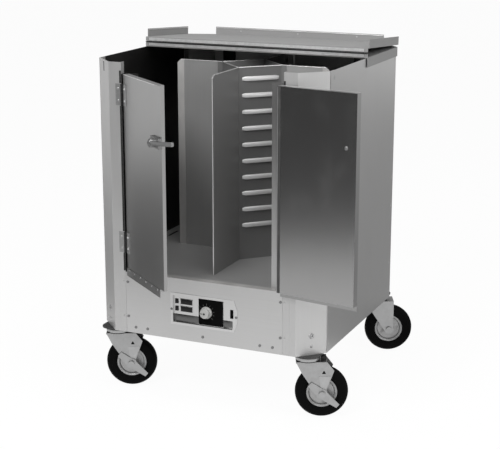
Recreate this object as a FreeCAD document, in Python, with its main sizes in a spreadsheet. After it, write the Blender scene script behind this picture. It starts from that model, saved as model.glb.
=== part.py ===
import FreeCAD, Part
import math
import os
import types

import Sketcher

# Heated plate cart: a sheet steel cabinet on swivel casters, with a pair of doors front and rear, a folding
# half lid, a slotted warm-air duct between the four plate cells, and a thermostat panel in the base.
# Millimetres. Origin on the floor under the middle of the cabinet, front towards -Y, +Z up.

SIZES = (
    # cabinet
    ("cart_width", 712, "outside width of the cabinet"),
    ("cart_depth", 706, "outside depth of the cabinet"),
    ("corner_chamfer", 68, "leg of the 45 degree corner"),
    ("wall_height", 798, "height of posts and walls"),
    ("panel_sheet", 1.5, "thickness of panels, lid and dividers"),
    ("post_sheet", 2, "thickness of posts and bottom pan"),
    ("post_flange", 40, "width of a post's front flange"),
    ("post_return", 18, "depth of the fold at the flange's edge"),
    ("post_side_lap", 28, "lap of a post behind the side panel"),
    ("bend_radius", 4, "outer radius of the posts' bends"),
    ("seam_gap", 0.3, "gap at seams between sheets"),
    ("base_height", 185, "height of the base below the plate cells"),
    ("base_top_flange", 25, "depth of the base panel's top fold"),
    ("stop_width", 43, "width of the door stop beside the opening"),
    ("stop_gap", 2, "gap between a closed door and its stop"),
    # warm-air duct and dividers
    ("divider_drop", 33, "dividers and doors end this far below the wall tops"),
    ("duct_half", 98, "half diagonal of the square duct"),
    ("duct_lap", 14, "flap of the duct along the side wings"),
    ("slot_length", 112, "length of an air slot"),
    ("slot_height", 12, "height of an air slot"),
    ("slot_pitch", 49, "spacing of the air slots"),
    ("slot_count", 10, "air slots in each duct face"),
    ("slot_drop", 36, "top of the dividers to the first slot's middle"),
    ("stem_reach", 278, "front and rear divider ends, from the middle"),
    ("wing_reach", 247, "side wing ends, from the middle"),
    ("hem_width", 22, "folded hem on a divider's free edge"),
    ("hem_corner", 10, "cut corner at the top of a hem"),
    ("vent_length", 70, "length of a return-air slot in the deck"),
    ("vent_width", 9, "width of a return-air slot in the deck"),
    ("vent_inset", 34, "return-air slots, from the side wall"),
    # doors
    ("door_thickness", 20, "thickness of a door"),
    ("door_proud", 0.6, "door face in front of the posts' face"),
    ("door_gap", 6, "gap under a door"),
    ("door_edge", 1, "hinge axis to the door's edge"),
    ("meeting_gap", 2, "gap between the closed doors"),
    ("lip_height", 16, "lip of a door below its pan"),
    ("lip_lap", 8, "lip fixed on the door's face over this height"),
    ("lip_sheet", 2, "thickness of the lip and the cover strip"),
    ("strip_reach", 28, "cover strip past the left door's edge"),
    ("strip_lap", 16, "cover strip fixed on the left door's face"),
    ("strip_relief", 0.5, "cover strip clear of the right door"),
    ("left_open_angle", 38.9, "left door's opening at rest, degrees"),
    ("right_open_angle", 170.5, "right door's opening at rest, degrees"),
    # door hinges
    ("hinge_inset", 4, "hinge axis inside the post's edge"),
    ("hinge_standoff", 5, "hinge axis in front of the post's face"),
    ("hinge_height", 62, "height of a hinge"),
    ("hinge_leaf", 17, "width of a hinge leaf"),
    ("hinge_sheet", 2, "thickness of a hinge leaf"),
    ("knuckle_radius", 4, "outer radius of a hinge knuckle"),
    ("hinge_pin_radius", 2.2, "radius of a hinge pin"),
    ("knuckle_gap", 0.4, "gap between hinge knuckles"),
    ("upper_hinge", 707, "upper hinge's middle above the skirt"),
    ("lower_hinge", 275, "lower hinge's middle above the skirt"),
    ("fit", 0.05, "radial clearance of pins and shafts"),
    # latch
    ("latch_height", 612, "latch lever above the skirt"),
    ("latch_inset", 3, "front latch's pivot from its door's edge"),
    ("rear_latch_inset", 63, "rear latch's pivot from its door's edge"),
    ("latch_base_width", 60, "width of a latch's base"),
    ("latch_base_height", 30, "height of the latch's base"),
    ("latch_base_depth", 9, "depth of the latch's base"),
    ("latch_boss_radius", 11, "radius of the latch's boss"),
    ("latch_boss_depth", 7, "depth of the latch's boss"),
    ("latch_pin_radius", 4, "radius of the latch's pivot pin"),
    ("lever_length", 146, "lever, from its pivot to its tip"),
    ("lever_height", 14, "height of the lever"),
    ("lever_thickness", 9, "thickness of the lever"),
    ("lever_bow", 6, "lever's bow away from the doors"),
    ("lever_hub", 12, "radius of the lever's hub"),
    ("front_lever_angle", 8, "front lever's lift at rest, degrees"),
    ("rear_lever_angle", 90, "rear lever's lift at rest, degrees"),
    ("keeper_width", 24, "width of the keeper"),
    ("keeper_inset", 45, "keeper's middle from the right door's edge"),
    ("keeper_sheet", 3, "thickness of the keeper"),
    ("keeper_gap", 1.6, "keeper clear of the lever"),
    ("keeper_lip", 12, "height of the keeper's lip"),
    # lid and fixed top
    ("hinge_line", 4, "lid hinge behind the cabinet's middle"),
    ("skirt_gap", 2, "lid skirts clear of the walls"),
    ("lid_skirt", 24, "height of the lid's skirts"),
    ("top_skirt", 28, "height of the fixed top's skirts"),
    ("lid_lift", 0.5, "closed lid above the wall tops"),
    ("lid_flange", 11, "upturned hinge flange of the fixed top"),
    ("lid_skirt_setback", 12, "lid's side skirts from the hinge"),
    ("lid_knuckle", 2.5, "outer radius of the lid hinge's knuckles"),
    ("lid_pin_radius", 1.2, "radius of the lid hinge's pin"),
    ("lid_leaf", 9, "height of the lid hinge's leaves"),
    ("lid_leaf_sheet", 1.3, "thickness of the lid hinge's leaves"),
    ("lid_leaf_gap", 0.8, "gap between the closed lid hinge's leaves"),
    ("lid_knuckles", 15, "knuckles of the lid hinge"),
    ("lid_hinge_end", 8, "lid hinge's ends inside the walls"),
    ("lid_rest_gap", 0.5, "folded lid above the fixed top"),
    # control panel
    ("control_offset", 4, "control opening's middle, to the right"),
    ("control_height", 93.5, "control opening's middle above the skirt"),
    ("control_width", 200, "width of the control opening"),
    ("control_tall", 84, "height of the control opening"),
    ("control_nose", 26, "rise of the slanted right end"),
    ("control_taper", 9, "slant of the right end"),
    ("control_depth", 5, "depth of the control tray"),
    ("bezel_width", 6, "width of the tray's rim"),
    ("bezel_sheet", 1.2, "thickness of the tray and its rim"),
    ("dial_side", 76, "side of the square dial plate"),
    ("dial_sheet", 2.5, "thickness of the dial plate"),
    ("dial_offset", 24.5, "dial plate's middle, to the right"),
    ("knob_offset", 12, "knob's axis, to the right"),
    ("knob_radius", 17.5, "radius of the knob"),
    ("knob_length", 18, "length of the knob"),
    ("knob_gap", 0.6, "gap behind the knob"),
    ("shaft_radius", 3, "radius of the thermostat's shaft"),
    ("shaft_room", 3, "room round the shaft in the plates"),
    ("thermostat_side", 56, "side of the thermostat's body"),
    ("thermostat_depth", 38, "depth of the thermostat's body"),
    ("switch_offset", 90, "rocker's middle, to the right"),
    ("switch_rise", 4, "rocker's middle above the tray's middle"),
    ("rocker_width", 8, "width of the rocker"),
    ("rocker_height", 23, "height of the rocker"),
    ("rocker_depth", 10, "depth of the rocker"),
    ("rocker_room", 1.8, "room round the rocker"),
    ("rocker_pin", 1.5, "radius of the rocker's pin"),
    ("switch_wall", 4, "wall of the switch's body"),
    ("switch_depth", 24, "depth of the switch's body"),
    # panel screws
    ("screw_head", 4, "radius of a screw head"),
    ("screw_rise", 1.6, "height of a screw head"),
    ("screw_shank", 2, "radius of a screw shank"),
    ("screw_length", 7, "length of a screw shank"),
    ("screw_room", 0.2, "clearance of a screw hole"),
    ("screw_inset", 6, "side screws from the panel's edge"),
    ("screw_row", 18, "bottom row of screws above the skirt"),
    ("screw_pitch", 105, "spacing of the side screws"),
    ("screw_rise_low", 50, "lower side screws above the skirt"),
    ("screw_outer", 29.7, "outer screws of the bottom row, from the panel's edge"),
    ("screw_inner", 68.7, "inner screws of the bottom row, from the panel's edge"),
    # fan, heater, wiring
    ("shroud_radius", 95, "outer radius of the fan's shroud"),
    ("shroud_wall", 3, "wall of the shroud"),
    ("shroud_height", 62, "height of the shroud"),
    ("motor_radius", 45, "radius of the fan motor"),
    ("motor_height", 96, "height of the fan motor"),
    ("motor_foot", 62, "radius of the motor's foot"),
    ("motor_shaft", 5, "radius of the motor's shaft"),
    ("fan_radius", 84, "radius of the fan"),
    ("fan_hub", 16, "radius of the fan's hub"),
    ("fan_height", 24, "height of the fan"),
    ("fan_blades", 6, "blades of the fan"),
    ("blade_sheet", 2, "thickness of a fan blade"),
    ("blade_angle", 32, "pitch of a fan blade, degrees"),
    ("fan_lift", 6, "fan above the motor"),
    ("heater_radius", 68, "radius of the heater ring"),
    ("heater_tube", 4, "radius of the heater tube"),
    ("heater_drop", 14, "heater ring below the deck"),
    ("heater_tab", 8, "width of the heater's tabs"),
    ("terminal_width", 96, "width of the terminal box"),
    ("terminal_depth", 66, "depth of the terminal box"),
    ("terminal_height", 58, "height of the terminal box"),
    ("terminal_offset", 190, "terminal box, to the right"),
    ("terminal_inset", 143, "middle of the wiring box from the back"),
    ("inlet_inset", 57.7, "power inlet's middle from the rear panel's edge"),
    ("inlet_height", 70, "power inlet above the skirt"),
    ("inlet_flange", 64, "side of the inlet's flange"),
    ("inlet_sheet", 3, "thickness of the inlet's flange"),
    ("inlet_radius", 23, "radius of the inlet's cup"),
    ("inlet_wall", 3, "wall of the inlet's cup"),
    ("inlet_depth", 16, "depth of the inlet's cup"),
    ("inlet_pin", 2.2, "radius of the inlet's contacts"),
    ("inlet_pin_pitch", 14, "spacing of the inlet's contacts"),
    # casters
    ("caster_height", 190, "floor to the bottom pan"),
    ("caster_inset_side", 50, "swivel axis from the side"),
    ("caster_inset_front", 49, "swivel axis from the front or back"),
    ("caster_plate", 82, "side of a caster's plate"),
    ("caster_plate_sheet", 4, "thickness of a caster's plate"),
    ("caster_plate_round", 26, "rounding of a caster plate's corners"),
    ("race_radius", 34, "radius of the swivel race"),
    ("race_height", 8, "height of the upper race"),
    ("race_gap", 0.6, "gap between the races"),
    ("lower_race_height", 7, "height of the lower race"),
    ("kingpin_radius", 6, "radius of the kingpin"),
    ("kingpin_nut", 9, "radius of the kingpin's nut"),
    ("kingpin_nut_height", 7, "height of the kingpin's nut"),
    ("nut_gap", 0.5, "gap under the fork's crown"),
    ("crown_sheet", 4, "thickness of the fork's crown"),
    ("leg_sheet", 3, "thickness of the fork's legs"),
    ("leg_room", 1.5, "gap between hub and leg"),
    ("trail", 40, "axle behind the swivel axis"),
    ("tyre_room", 14.4, "gap between a tyre and the fork's crown"),
    ("tyre_width", 36, "width of a tyre"),
    ("rim_diameter", 88, "inside diameter of a tyre"),
    ("tyre_round", 8, "rounding of a tyre's shoulders"),
    ("hub_width", 46, "width of a hub at the axle"),
    ("hub_rim", 6, "radial width of the hub's rim"),
    ("hub_boss", 14, "radius of the hub's boss"),
    ("hub_web", 10, "half thickness of the hub's web"),
    ("axle_radius", 5, "radius of an axle"),
    ("axle_head", 9, "radius of the axle's head and nut"),
    ("axle_head_height", 6, "height of the axle's head and nut"),
    ("rest_swivel_angle", 24, "casters' swing at rest, degrees"),
    ("brake_sheet", 3, "thickness of a brake lever"),
    ("brake_gap", 1, "brake lever clear of the fork"),
    ("brake_boss", 16, "radius of the brake lever at the axle"),
    ("brake_tip", 58, "brake lever's tip from the axle"),
    ("brake_heel", 46, "brake lever's heel from the axle"),
    ("brake_drop_angle", 40, "brake lever's slope, degrees"),
)

doc = FreeCAD.newDocument("PlateCart")
sheet = doc.addObject("Spreadsheet::Sheet", "Sizes")


class Size:
    """A length and the spreadsheet expression that gives it."""

    def __init__(self, value, text):
        self.value = value
        self.text = text

    def __add__(self, other):
        other = as_size(other)
        return Size(self.value + other.value, f"({self.text} + {other.text})")

    def __sub__(self, other):
        other = as_size(other)
        return Size(self.value - other.value, f"({self.text} - {other.text})")

    def __mul__(self, other):
        other = as_size(other)
        return Size(self.value * other.value, f"({self.text} * {other.text})")

    def __truediv__(self, other):
        other = as_size(other)
        return Size(self.value / other.value, f"({self.text} / {other.text})")

    def __radd__(self, other):
        return as_size(other) + self

    def __rsub__(self, other):
        return as_size(other) - self

    def __rmul__(self, other):
        return as_size(other) * self

    def __neg__(self):
        return Size(-self.value, f"(-{self.text})")


def as_size(number):
    if isinstance(number, Size):
        return number
    return Size(float(number), f"({float(number):.9g})")


def fill_sheet():
    found = {}
    for row, (alias, number, meaning) in enumerate(SIZES, start=1):
        sheet.set(f"A{row}", meaning)
        sheet.set(f"B{row}", f"{number}")
        sheet.setAlias(f"B{row}", alias)
        found[alias] = Size(float(number), f"Sizes.{alias}")
    doc.recompute()
    return types.SimpleNamespace(**found)


d = fill_sheet()
ZERO = as_size(0)
X_AXIS = FreeCAD.Vector(1, 0, 0)
Y_AXIS = FreeCAD.Vector(0, 1, 0)
Z_AXIS = FreeCAD.Vector(0, 0, 1)
ROOT2 = math.sqrt(2)

nodes = []


def bind(thing, path, size):
    thing.setExpression(path, as_size(size).text)


def bind_base(thing, x, y, z):
    for letter, size in zip("xyz", (x, y, z)):
        bind(thing, f"Placement.Base.{letter}", size)


def block(name, x, y, z):
    """A box between two limits on each axis."""
    box = doc.addObject("Part::Box", name)
    bind(box, "Length", x[1] - x[0])
    bind(box, "Width", y[1] - y[0])
    bind(box, "Height", z[1] - z[0])
    bind_base(box, x[0], y[0], z[0])
    return box


def rod(name, axis, first, second, radius, low, high):
    """A cylinder along an axis; first and second are its place on the other two axes, in x, y, z order."""
    turned_to = {"X": FreeCAD.Rotation(Y_AXIS, 90), "Y": FreeCAD.Rotation(X_AXIS, -90)}
    place = {"X": (low, first, second), "Y": (first, low, second), "Z": (first, second, low)}[axis]
    cylinder = doc.addObject("Part::Cylinder", name)
    if axis in turned_to:
        cylinder.Placement = FreeCAD.Placement(FreeCAD.Vector(), turned_to[axis])
    bind(cylinder, "Radius", radius)
    bind(cylinder, "Height", as_size(high) - low)
    bind_base(cylinder, *place)
    return cylinder


def outline(body, name, plane, points, offset):
    """A closed outline on one of the body's planes, each corner tied to its sizes."""
    sketch = body.newObject("Sketcher::SketchObject", name)
    support = [item for item in body.Origin.OriginFeatures if item.Role == plane][0]
    sketch.AttachmentSupport = (support, [""])
    sketch.MapMode = "FlatFace"
    corners = [(as_size(u), as_size(v)) for u, v in points]
    count = len(corners)
    for index in range(count):
        here = corners[index]
        after = corners[(index + 1) % count]
        start = FreeCAD.Vector(here[0].value, here[1].value, 0)
        end = FreeCAD.Vector(after[0].value, after[1].value, 0)
        sketch.addGeometry(Part.LineSegment(start, end), False)
    for index in range(count):
        sketch.addConstraint(Sketcher.Constraint("Coincident", index, 2, (index + 1) % count, 1))
    for index, corner in enumerate(corners):
        for kind, size in zip(("DistanceX", "DistanceY"), corner):
            number = sketch.addConstraint(Sketcher.Constraint(kind, -1, 1, index, 1, size.value))
            bind(sketch, f"Constraints[{number}]", size)
    bind(sketch, "AttachmentOffset.Base.z", offset)
    return sketch


def prism(name, plane, points, low, high, rounds=()):
    """An outline padded between two limits; rounds lists (corner index, radius) for the long edges."""
    body = doc.addObject("PartDesign::Body", name)
    offset = -as_size(high) if plane == "XZ_Plane" else as_size(low)
    sketch = outline(body, name + "_outline", plane, points, offset)
    pad = body.newObject("PartDesign::Pad", name + "_pad")
    pad.Profile = sketch
    bind(pad, "Length", as_size(high) - low)
    doc.recompute()
    for index, radius in rounds:
        round_edge(body, f"{name}_round{index}", plane, points[index], radius)
    return body


def round_edge(body, name, plane, corner, radius):
    first, second = {"XY_Plane": (0, 1), "XZ_Plane": (0, 2), "YZ_Plane": (1, 2)}[plane]
    base = body.Tip
    wanted = (as_size(corner[0]).value, as_size(corner[1]).value)
    chosen = []
    for number, edge in enumerate(base.Shape.Edges, start=1):
        ends = [vertex.Point for vertex in edge.Vertexes]
        near = [math.dist((point[first], point[second]), wanted) < 1e-4 for point in ends]
        if len(ends) == 2 and all(near):
            chosen.append(f"Edge{number}")
    fillet = body.newObject("PartDesign::Fillet", name)
    fillet.Base = (base, chosen)
    bind(fillet, "Radius", radius)
    doc.recompute()


def turned(name, points):
    """An outline of (radius, height) corners turned about the Z axis."""
    body = doc.addObject("PartDesign::Body", name)
    sketch = outline(body, name + "_outline", "XZ_Plane", points, ZERO)
    spin = body.newObject("PartDesign::Revolution", name + "_turn")
    spin.Profile = sketch
    spin.ReferenceAxis = (sketch, ["V_Axis"])
    spin.Angle = 360
    doc.recompute()
    return body


def joined(name, *pieces):
    if len(pieces) == 1:
        return pieces[0]
    fuse = doc.addObject("Part::MultiFuse", name)
    fuse.Shapes = list(pieces)
    fuse.Refine = True
    return fuse


def cut(name, base, *tools):
    result = doc.addObject("Part::Cut", name)
    result.Base = base
    result.Tool = joined(name + "_tools", *tools)
    result.Refine = True
    return result


def group(name, pieces):
    """Separate solids that share one node."""
    compound = doc.addObject("Part::Compound", name)
    compound.Links = list(pieces)
    return compound


def node(label, thing, place=None):
    """Name a sub-part and set where it stands."""
    thing.Label = label
    if place is not None:
        thing.Placement = place
    nodes.append(thing)
    return thing


def placed(x, y, z, axis=Z_AXIS, angle=0.0):
    base = FreeCAD.Vector(as_size(x).value, as_size(y).value, as_size(z).value)
    return FreeCAD.Placement(base, FreeCAD.Rotation(axis, angle))


def offset_corners(points, distance, closed, side):
    """Corners moved sideways by a distance, mitred at each bend; side 1 is left of the way along."""
    values = [(as_size(u).value, as_size(v).value) for u, v in points]
    count = len(values)
    spans = count if closed else count - 1
    normals = []
    for index in range(spans):
        after = values[(index + 1) % count]
        run = (after[0] - values[index][0], after[1] - values[index][1])
        length = math.hypot(*run)
        normals.append((-side * run[1] / length, side * run[0] / length))
    moved = []
    for index in range(count):
        before = normals[index - 1] if closed or index > 0 else normals[0]
        after = normals[index % spans] if closed or index < spans else normals[-1]
        share = 1 + before[0] * after[0] + before[1] * after[1]
        shift = ((before[0] + after[0]) / share, (before[1] + after[1]) / share)
        u, v = points[index]
        moved.append((as_size(u) + distance * shift[0], as_size(v) + distance * shift[1]))
    return moved


def folded(points, thickness, side):
    """The closed outline of a bent sheet along a line of corners."""
    return list(points) + offset_corners(points, thickness, False, side)[::-1]


def flipped(points, sign_x, sign_y):
    return [(as_size(u) * sign_x, as_size(v) * sign_y) for u, v in points]


# Places shared by the pieces
half_width = d.cart_width / 2
half_depth = d.cart_depth / 2
front_half = half_width - d.corner_chamfer
side_half = half_depth - d.corner_chamfer
skirt_z = d.caster_height
wall_top = skirt_z + d.wall_height
base_top = skirt_z + d.base_height
deck_top = base_top - d.panel_sheet
divider_top = wall_top - d.divider_drop
opening_half = front_half - d.post_flange
panel_half = opening_half - d.seam_gap
pan_half_width = half_width - d.panel_sheet - d.post_sheet - d.seam_gap
pan_half_depth = half_depth - d.post_return - d.seam_gap
hinge_x = opening_half - d.hinge_inset
hinge_y = -half_depth - d.hinge_standoff
door_face = d.hinge_standoff - d.door_proud
door_back = door_face + d.door_thickness
door_bottom = base_top + d.door_gap
door_width = hinge_x - d.meeting_gap / 2


def inner_octagon():
    """Outline that fits inside the posts and side panels."""
    reach = half_width + half_depth - d.corner_chamfer - (d.post_sheet + d.seam_gap) * ROOT2
    quarter = [(pan_half_width, reach - pan_half_width), (reach - pan_half_depth, pan_half_depth)]
    back = quarter + flipped(quarter, -1, 1)[::-1]
    return back + flipped(back, 1, -1)[::-1]


def make_posts():
    """Four corner posts, each bent from one sheet: side lap, chamfer, flange and fold."""
    path = [
        (half_width - d.panel_sheet, side_half - d.post_side_lap),
        (half_width - d.panel_sheet, side_half + d.panel_sheet),
        (front_half, half_depth),
        (opening_half, half_depth),
        (opening_half, half_depth - d.post_return),
    ]
    profile = folded(path, d.post_sheet, 1)
    inner = d.bend_radius - d.post_sheet
    rounds = ((1, d.bend_radius), (2, d.bend_radius), (7, inner), (8, inner))
    for side, sign_x in (("left", -1), ("right", 1)):
        for end, sign_y in (("front", -1), ("rear", 1)):
            label = f"post_{end}_{side}"
            corner = flipped(profile, sign_x, sign_y)
            node(label, prism(label, "XY_Plane", corner, skirt_z, wall_top, rounds))


def make_walls():
    for side, sign in (("left", -1), ("right", 1)):
        faces = sorted((half_width * sign, (half_width - d.panel_sheet) * sign), key=lambda face: face.value)
        label = f"side_panel_{side}"
        node(label, block(label, faces, (-side_half, side_half), (skirt_z, wall_top)))
    pan_top = skirt_z + d.post_sheet
    node("bottom_pan", prism("bottom_pan", "XY_Plane", inner_octagon(), skirt_z, pan_top))


def make_deck():
    """Floor of the plate cells, open under the duct, with return-air slots along the sides."""
    plate = prism("deck_plate", "XY_Plane", inner_octagon(), deck_top - d.panel_sheet, deck_top)
    hole = d.duct_half - d.panel_sheet * ROOT2 - d.seam_gap
    through = (deck_top - 2 * d.panel_sheet, deck_top + d.panel_sheet)
    diamond = [(hole, ZERO), (ZERO, hole), (-hole, ZERO), (ZERO, -hole)]
    tools = [prism("deck_hole", "XY_Plane", diamond, *through)]
    edge = half_width - d.vent_inset
    for sign in (-1, 1):
        for step in (-2, -1, 0, 1, 2):
            middle = step * 1.4 * d.vent_length
            along = (middle - d.vent_length / 2, middle + d.vent_length / 2)
            across = (sign * edge - d.vent_width / 2, sign * edge + d.vent_width / 2)
            tools.append(block(f"deck_vent{len(tools)}", across, along, through))
    node("deck", cut("deck", plate, *tools))


def make_door_stops():
    stop_face = half_depth + d.door_proud - d.door_thickness - d.stop_gap
    path = [
        (opening_half, half_depth - d.seam_gap),
        (opening_half, stop_face - d.panel_sheet),
        (opening_half - d.stop_width, stop_face - d.panel_sheet),
    ]
    profile = folded(path, d.panel_sheet, -1)
    stops = []
    for sign_x in (-1, 1):
        for sign_y in (-1, 1):
            corner = flipped(profile, sign_x, sign_y)
            stops.append(prism(f"door_stop{len(stops)}", "XY_Plane", corner, base_top, divider_top))
    node("door_stops", group("door_stops", stops))


def duct_slots(name, direction):
    """Cutter for one slotted duct face; it starts at the duct's front edge and runs in a direction."""
    face = d.duct_half * ROOT2
    start = (face - d.slot_length) / 2
    end = start + d.slot_length
    radius = d.slot_height / 2
    depth = (-4 * d.panel_sheet, 4 * d.panel_sheet)
    pieces = []
    for step in range(int(d.slot_count.value)):
        middle = divider_top - d.slot_drop - step * d.slot_pitch
        label = f"{name}_{step}"
        level = (middle - radius, middle + radius)
        pieces.append(block(label, (start + radius, end - radius), depth, level))
        for tag, centre in (("a", start + radius), ("b", end - radius)):
            pieces.append(rod(label + tag, "Y", centre, middle, radius, *depth))
    tool = joined(name, *pieces)
    tool.Placement = placed(0, -d.duct_half, 0, Z_AXIS, direction)
    return tool


def make_duct():
    """Square warm-air duct set cornerwise: two bent sheets with slotted faces, flaps along the wings."""
    flap = 1.5 * d.panel_sheet
    corner = d.duct_half - flap
    path = [
        (-(d.duct_half + d.duct_lap), -flap),
        (-corner, -flap),
        (ZERO, -d.duct_half),
        (corner, -flap),
        (d.duct_half + d.duct_lap, -flap),
    ]
    profile = folded(path, d.panel_sheet, 1)
    for end, turn in (("front", 0), ("rear", 180)):
        label = f"air_duct_{end}"
        shell = prism(label + "_sheet", "XY_Plane", profile, deck_top, divider_top)
        slots = [duct_slots(f"{label}_slots{angle}", angle) for angle in (45, 135)]
        node(label, cut(label, shell, *slots), placed(0, 0, 0, Z_AXIS, turn))


def divider_outline(start, reach):
    return [
        (start, deck_top),
        (reach, deck_top),
        (reach, divider_top - d.hem_corner),
        (reach - d.hem_corner, divider_top),
        (start, divider_top),
    ]


def make_dividers():
    """Front and rear dividers and side wings, each with a folded hem on its free edge."""
    half_sheet = d.panel_sheet / 2
    hem_half = 3 * half_sheet
    stem_hem = d.stem_reach - d.hem_width
    wing_hem = d.wing_reach - d.hem_width
    pairs = (
        ("middle_dividers", "YZ_Plane", d.stem_reach, stem_hem),
        ("side_wings", "XZ_Plane", d.wing_reach, wing_hem),
    )
    for label, plane, reach, hem_start in pairs:
        sheets = []
        for tag, sign in (("a", -1), ("b", 1)):
            web = flipped(divider_outline(d.duct_half, reach), sign, 1)
            hem = flipped(divider_outline(hem_start, reach), sign, 1)
            web_body = prism(f"{label}_{tag}_web", plane, web, -half_sheet, half_sheet)
            hem_body = prism(f"{label}_{tag}_hem", plane, hem, -hem_half, hem_half)
            sheets.append(joined(f"{label}_{tag}", web_body, hem_body))
        node(label, group(label, sheets))


ENDS = (("front", placed(0, 0, 0)), ("rear", placed(0, 0, 0, Z_AXIS, 180)))

# Control panel places
control_z = skirt_z + d.control_height
face_y = -half_depth
tray_floor = face_y + d.control_depth
knob_z = control_z
switch_z = control_z + d.switch_rise


def control_outline():
    left = d.control_offset - d.control_width / 2
    right = d.control_offset + d.control_width / 2
    low = control_z - d.control_tall / 2
    high = control_z + d.control_tall / 2
    return [
        (left, low),
        (right - d.control_taper, low),
        (right, low + d.control_nose),
        (right, high - d.control_nose),
        (right - d.control_taper, high),
        (left, high),
    ]


def screw_places():
    side = panel_half - d.screw_inset
    low = skirt_z + d.screw_rise_low
    places = [(sign * side, level) for sign in (-1, 1) for level in (low, low + d.screw_pitch)]
    row = skirt_z + d.screw_row
    outer = panel_half - d.screw_outer
    inner = panel_half - d.screw_inner
    for along in (-outer, -inner, ZERO, inner, outer):
        places.append((along, row))
    return places


def make_base_panels():
    """Front and rear of the base with the screws that hold them; the front has the control opening."""
    path = [
        (face_y, skirt_z),
        (face_y, base_top),
        (face_y + d.base_top_flange, base_top),
    ]
    profile = folded(path, d.panel_sheet, -1)
    through = (face_y - d.panel_sheet, face_y + 2 * d.panel_sheet)
    screws = []
    for end, place in ENDS:
        panel = prism(f"base_{end}_sheet", "YZ_Plane", profile, -panel_half, panel_half)
        tools = []
        heads = []
        if end == "front":
            tools.append(prism("control_opening", "XZ_Plane", control_outline(), *through))
        for index, (x, z) in enumerate(screw_places()):
            name = f"{end}_screw{index}"
            hole = d.screw_shank + d.screw_room
            tools.append(rod(name + "_hole", "Y", x, z, hole, *through))
            head = rod(name + "_head", "Y", x, z, d.screw_head, face_y - d.screw_rise, face_y)
            shank = rod(name + "_shank", "Y", x, z, d.screw_shank, face_y, face_y + d.screw_length)
            heads.append(joined(name, head, shank))
        label = f"base_{end}_panel"
        node(label, cut(label, panel, *tools), place)
        row = group(f"{end}_screws", heads)
        row.Placement = place
        screws.append(row)
    node("panel_screws", group("panel_screws", screws))


def make_controls():
    hole = control_outline()
    tray_edge = offset_corners(hole, d.seam_gap, True, 1)
    tray_room = offset_corners(hole, d.seam_gap + d.bezel_sheet, True, 1)
    rim_edge = offset_corners(hole, d.bezel_width, True, -1)
    rim_face = face_y - d.bezel_sheet
    tray_back = tray_floor + d.bezel_sheet
    shaft_hole = d.shaft_radius + d.shaft_room
    rocker_half_width = d.rocker_width / 2 + d.rocker_room / 2
    rocker_half_height = d.rocker_height / 2 + d.rocker_room
    rocker_x = (d.switch_offset - rocker_half_width, d.switch_offset + rocker_half_width)
    rocker_z = (switch_z - rocker_half_height, switch_z + rocker_half_height)

    tray = prism("control_tray", "XZ_Plane", tray_edge, rim_face, tray_back)
    rim = prism("control_rim", "XZ_Plane", rim_edge, rim_face, face_y)
    room = prism("control_room", "XZ_Plane", tray_room, rim_face - d.bezel_sheet, tray_floor)
    passage = (tray_floor - d.bezel_sheet, tray_back + d.bezel_sheet)
    shaft_way = rod("control_shaft_hole", "Y", d.knob_offset, knob_z, shaft_hole, *passage)
    rocker_way = block("control_rocker_hole", rocker_x, passage, rocker_z)
    shell = joined("control_shell", tray, rim)
    node("control_panel", cut("control_panel", shell, room, shaft_way, rocker_way))

    dial_half = d.dial_side / 2
    dial_x = (d.dial_offset - dial_half, d.dial_offset + dial_half)
    dial_face = tray_floor - d.dial_sheet
    dial = block("dial_sheet", dial_x, (dial_face, tray_floor), (control_z - dial_half, control_z + dial_half))
    dial_hole = rod("dial_hole", "Y", d.knob_offset, knob_z, shaft_hole, dial_face - 1, tray_floor + 1)
    node("dial_plate", cut("dial_plate", dial, dial_hole))

    knob_back = dial_face - d.knob_gap
    knob_face = knob_back - d.knob_length
    knob_points = [
        (d.shaft_radius + d.fit, ZERO),
        (d.knob_radius, ZERO),
        (d.knob_radius, d.knob_length * 0.3),
        (d.knob_radius * 0.9, d.knob_length * 0.36),
        (d.knob_radius * 0.84, d.knob_length * 0.92),
        (d.knob_radius * 0.76, d.knob_length),
        (d.shaft_radius + d.fit, d.knob_length),
    ]
    knob_place = placed(d.knob_offset, knob_back, knob_z, X_AXIS, 90)
    node("thermostat_knob", turned("thermostat_knob", knob_points), knob_place)

    body_half = d.thermostat_side / 2
    body = block(
        "thermostat_case",
        (d.knob_offset - body_half, d.knob_offset + body_half),
        (tray_back, tray_back + d.thermostat_depth),
        (knob_z - body_half, knob_z + body_half),
    )
    shaft = rod("thermostat_shaft", "Y", d.knob_offset, knob_z, d.shaft_radius, knob_face, tray_back + 1)
    node("thermostat", joined("thermostat", body, shaft))

    case = block(
        "switch_case",
        (rocker_x[0] - d.switch_wall, rocker_x[1] + d.switch_wall),
        (tray_back, tray_back + d.switch_depth),
        (rocker_z[0] - d.switch_wall, rocker_z[1] + d.switch_wall),
    )
    well = block("switch_well", rocker_x, (tray_back - 1, tray_back + d.rocker_depth), rocker_z)
    pin_x = (rocker_x[0] - d.switch_wall / 2, rocker_x[1] + d.switch_wall / 2)
    rocker_y = tray_back + d.rocker_depth / 2 - d.rocker_room
    pin = rod("switch_pin", "X", rocker_y, switch_z, d.rocker_pin, *pin_x)
    node("power_switch", joined("power_switch", cut("switch_shell", case, well), pin))

    half = d.rocker_width / 2
    lever = block(
        "rocker_block",
        (d.switch_offset - half, d.switch_offset + half),
        (rocker_y - d.rocker_depth / 2 - d.rocker_room, rocker_y + d.rocker_depth / 2 - d.rocker_room),
        (switch_z - d.rocker_height / 2, switch_z + d.rocker_height / 2),
    )
    bore = rod("rocker_bore", "X", rocker_y, switch_z, d.rocker_pin + d.fit, *rocker_x)
    node("switch_rocker", cut("switch_rocker", lever, bore))


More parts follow.
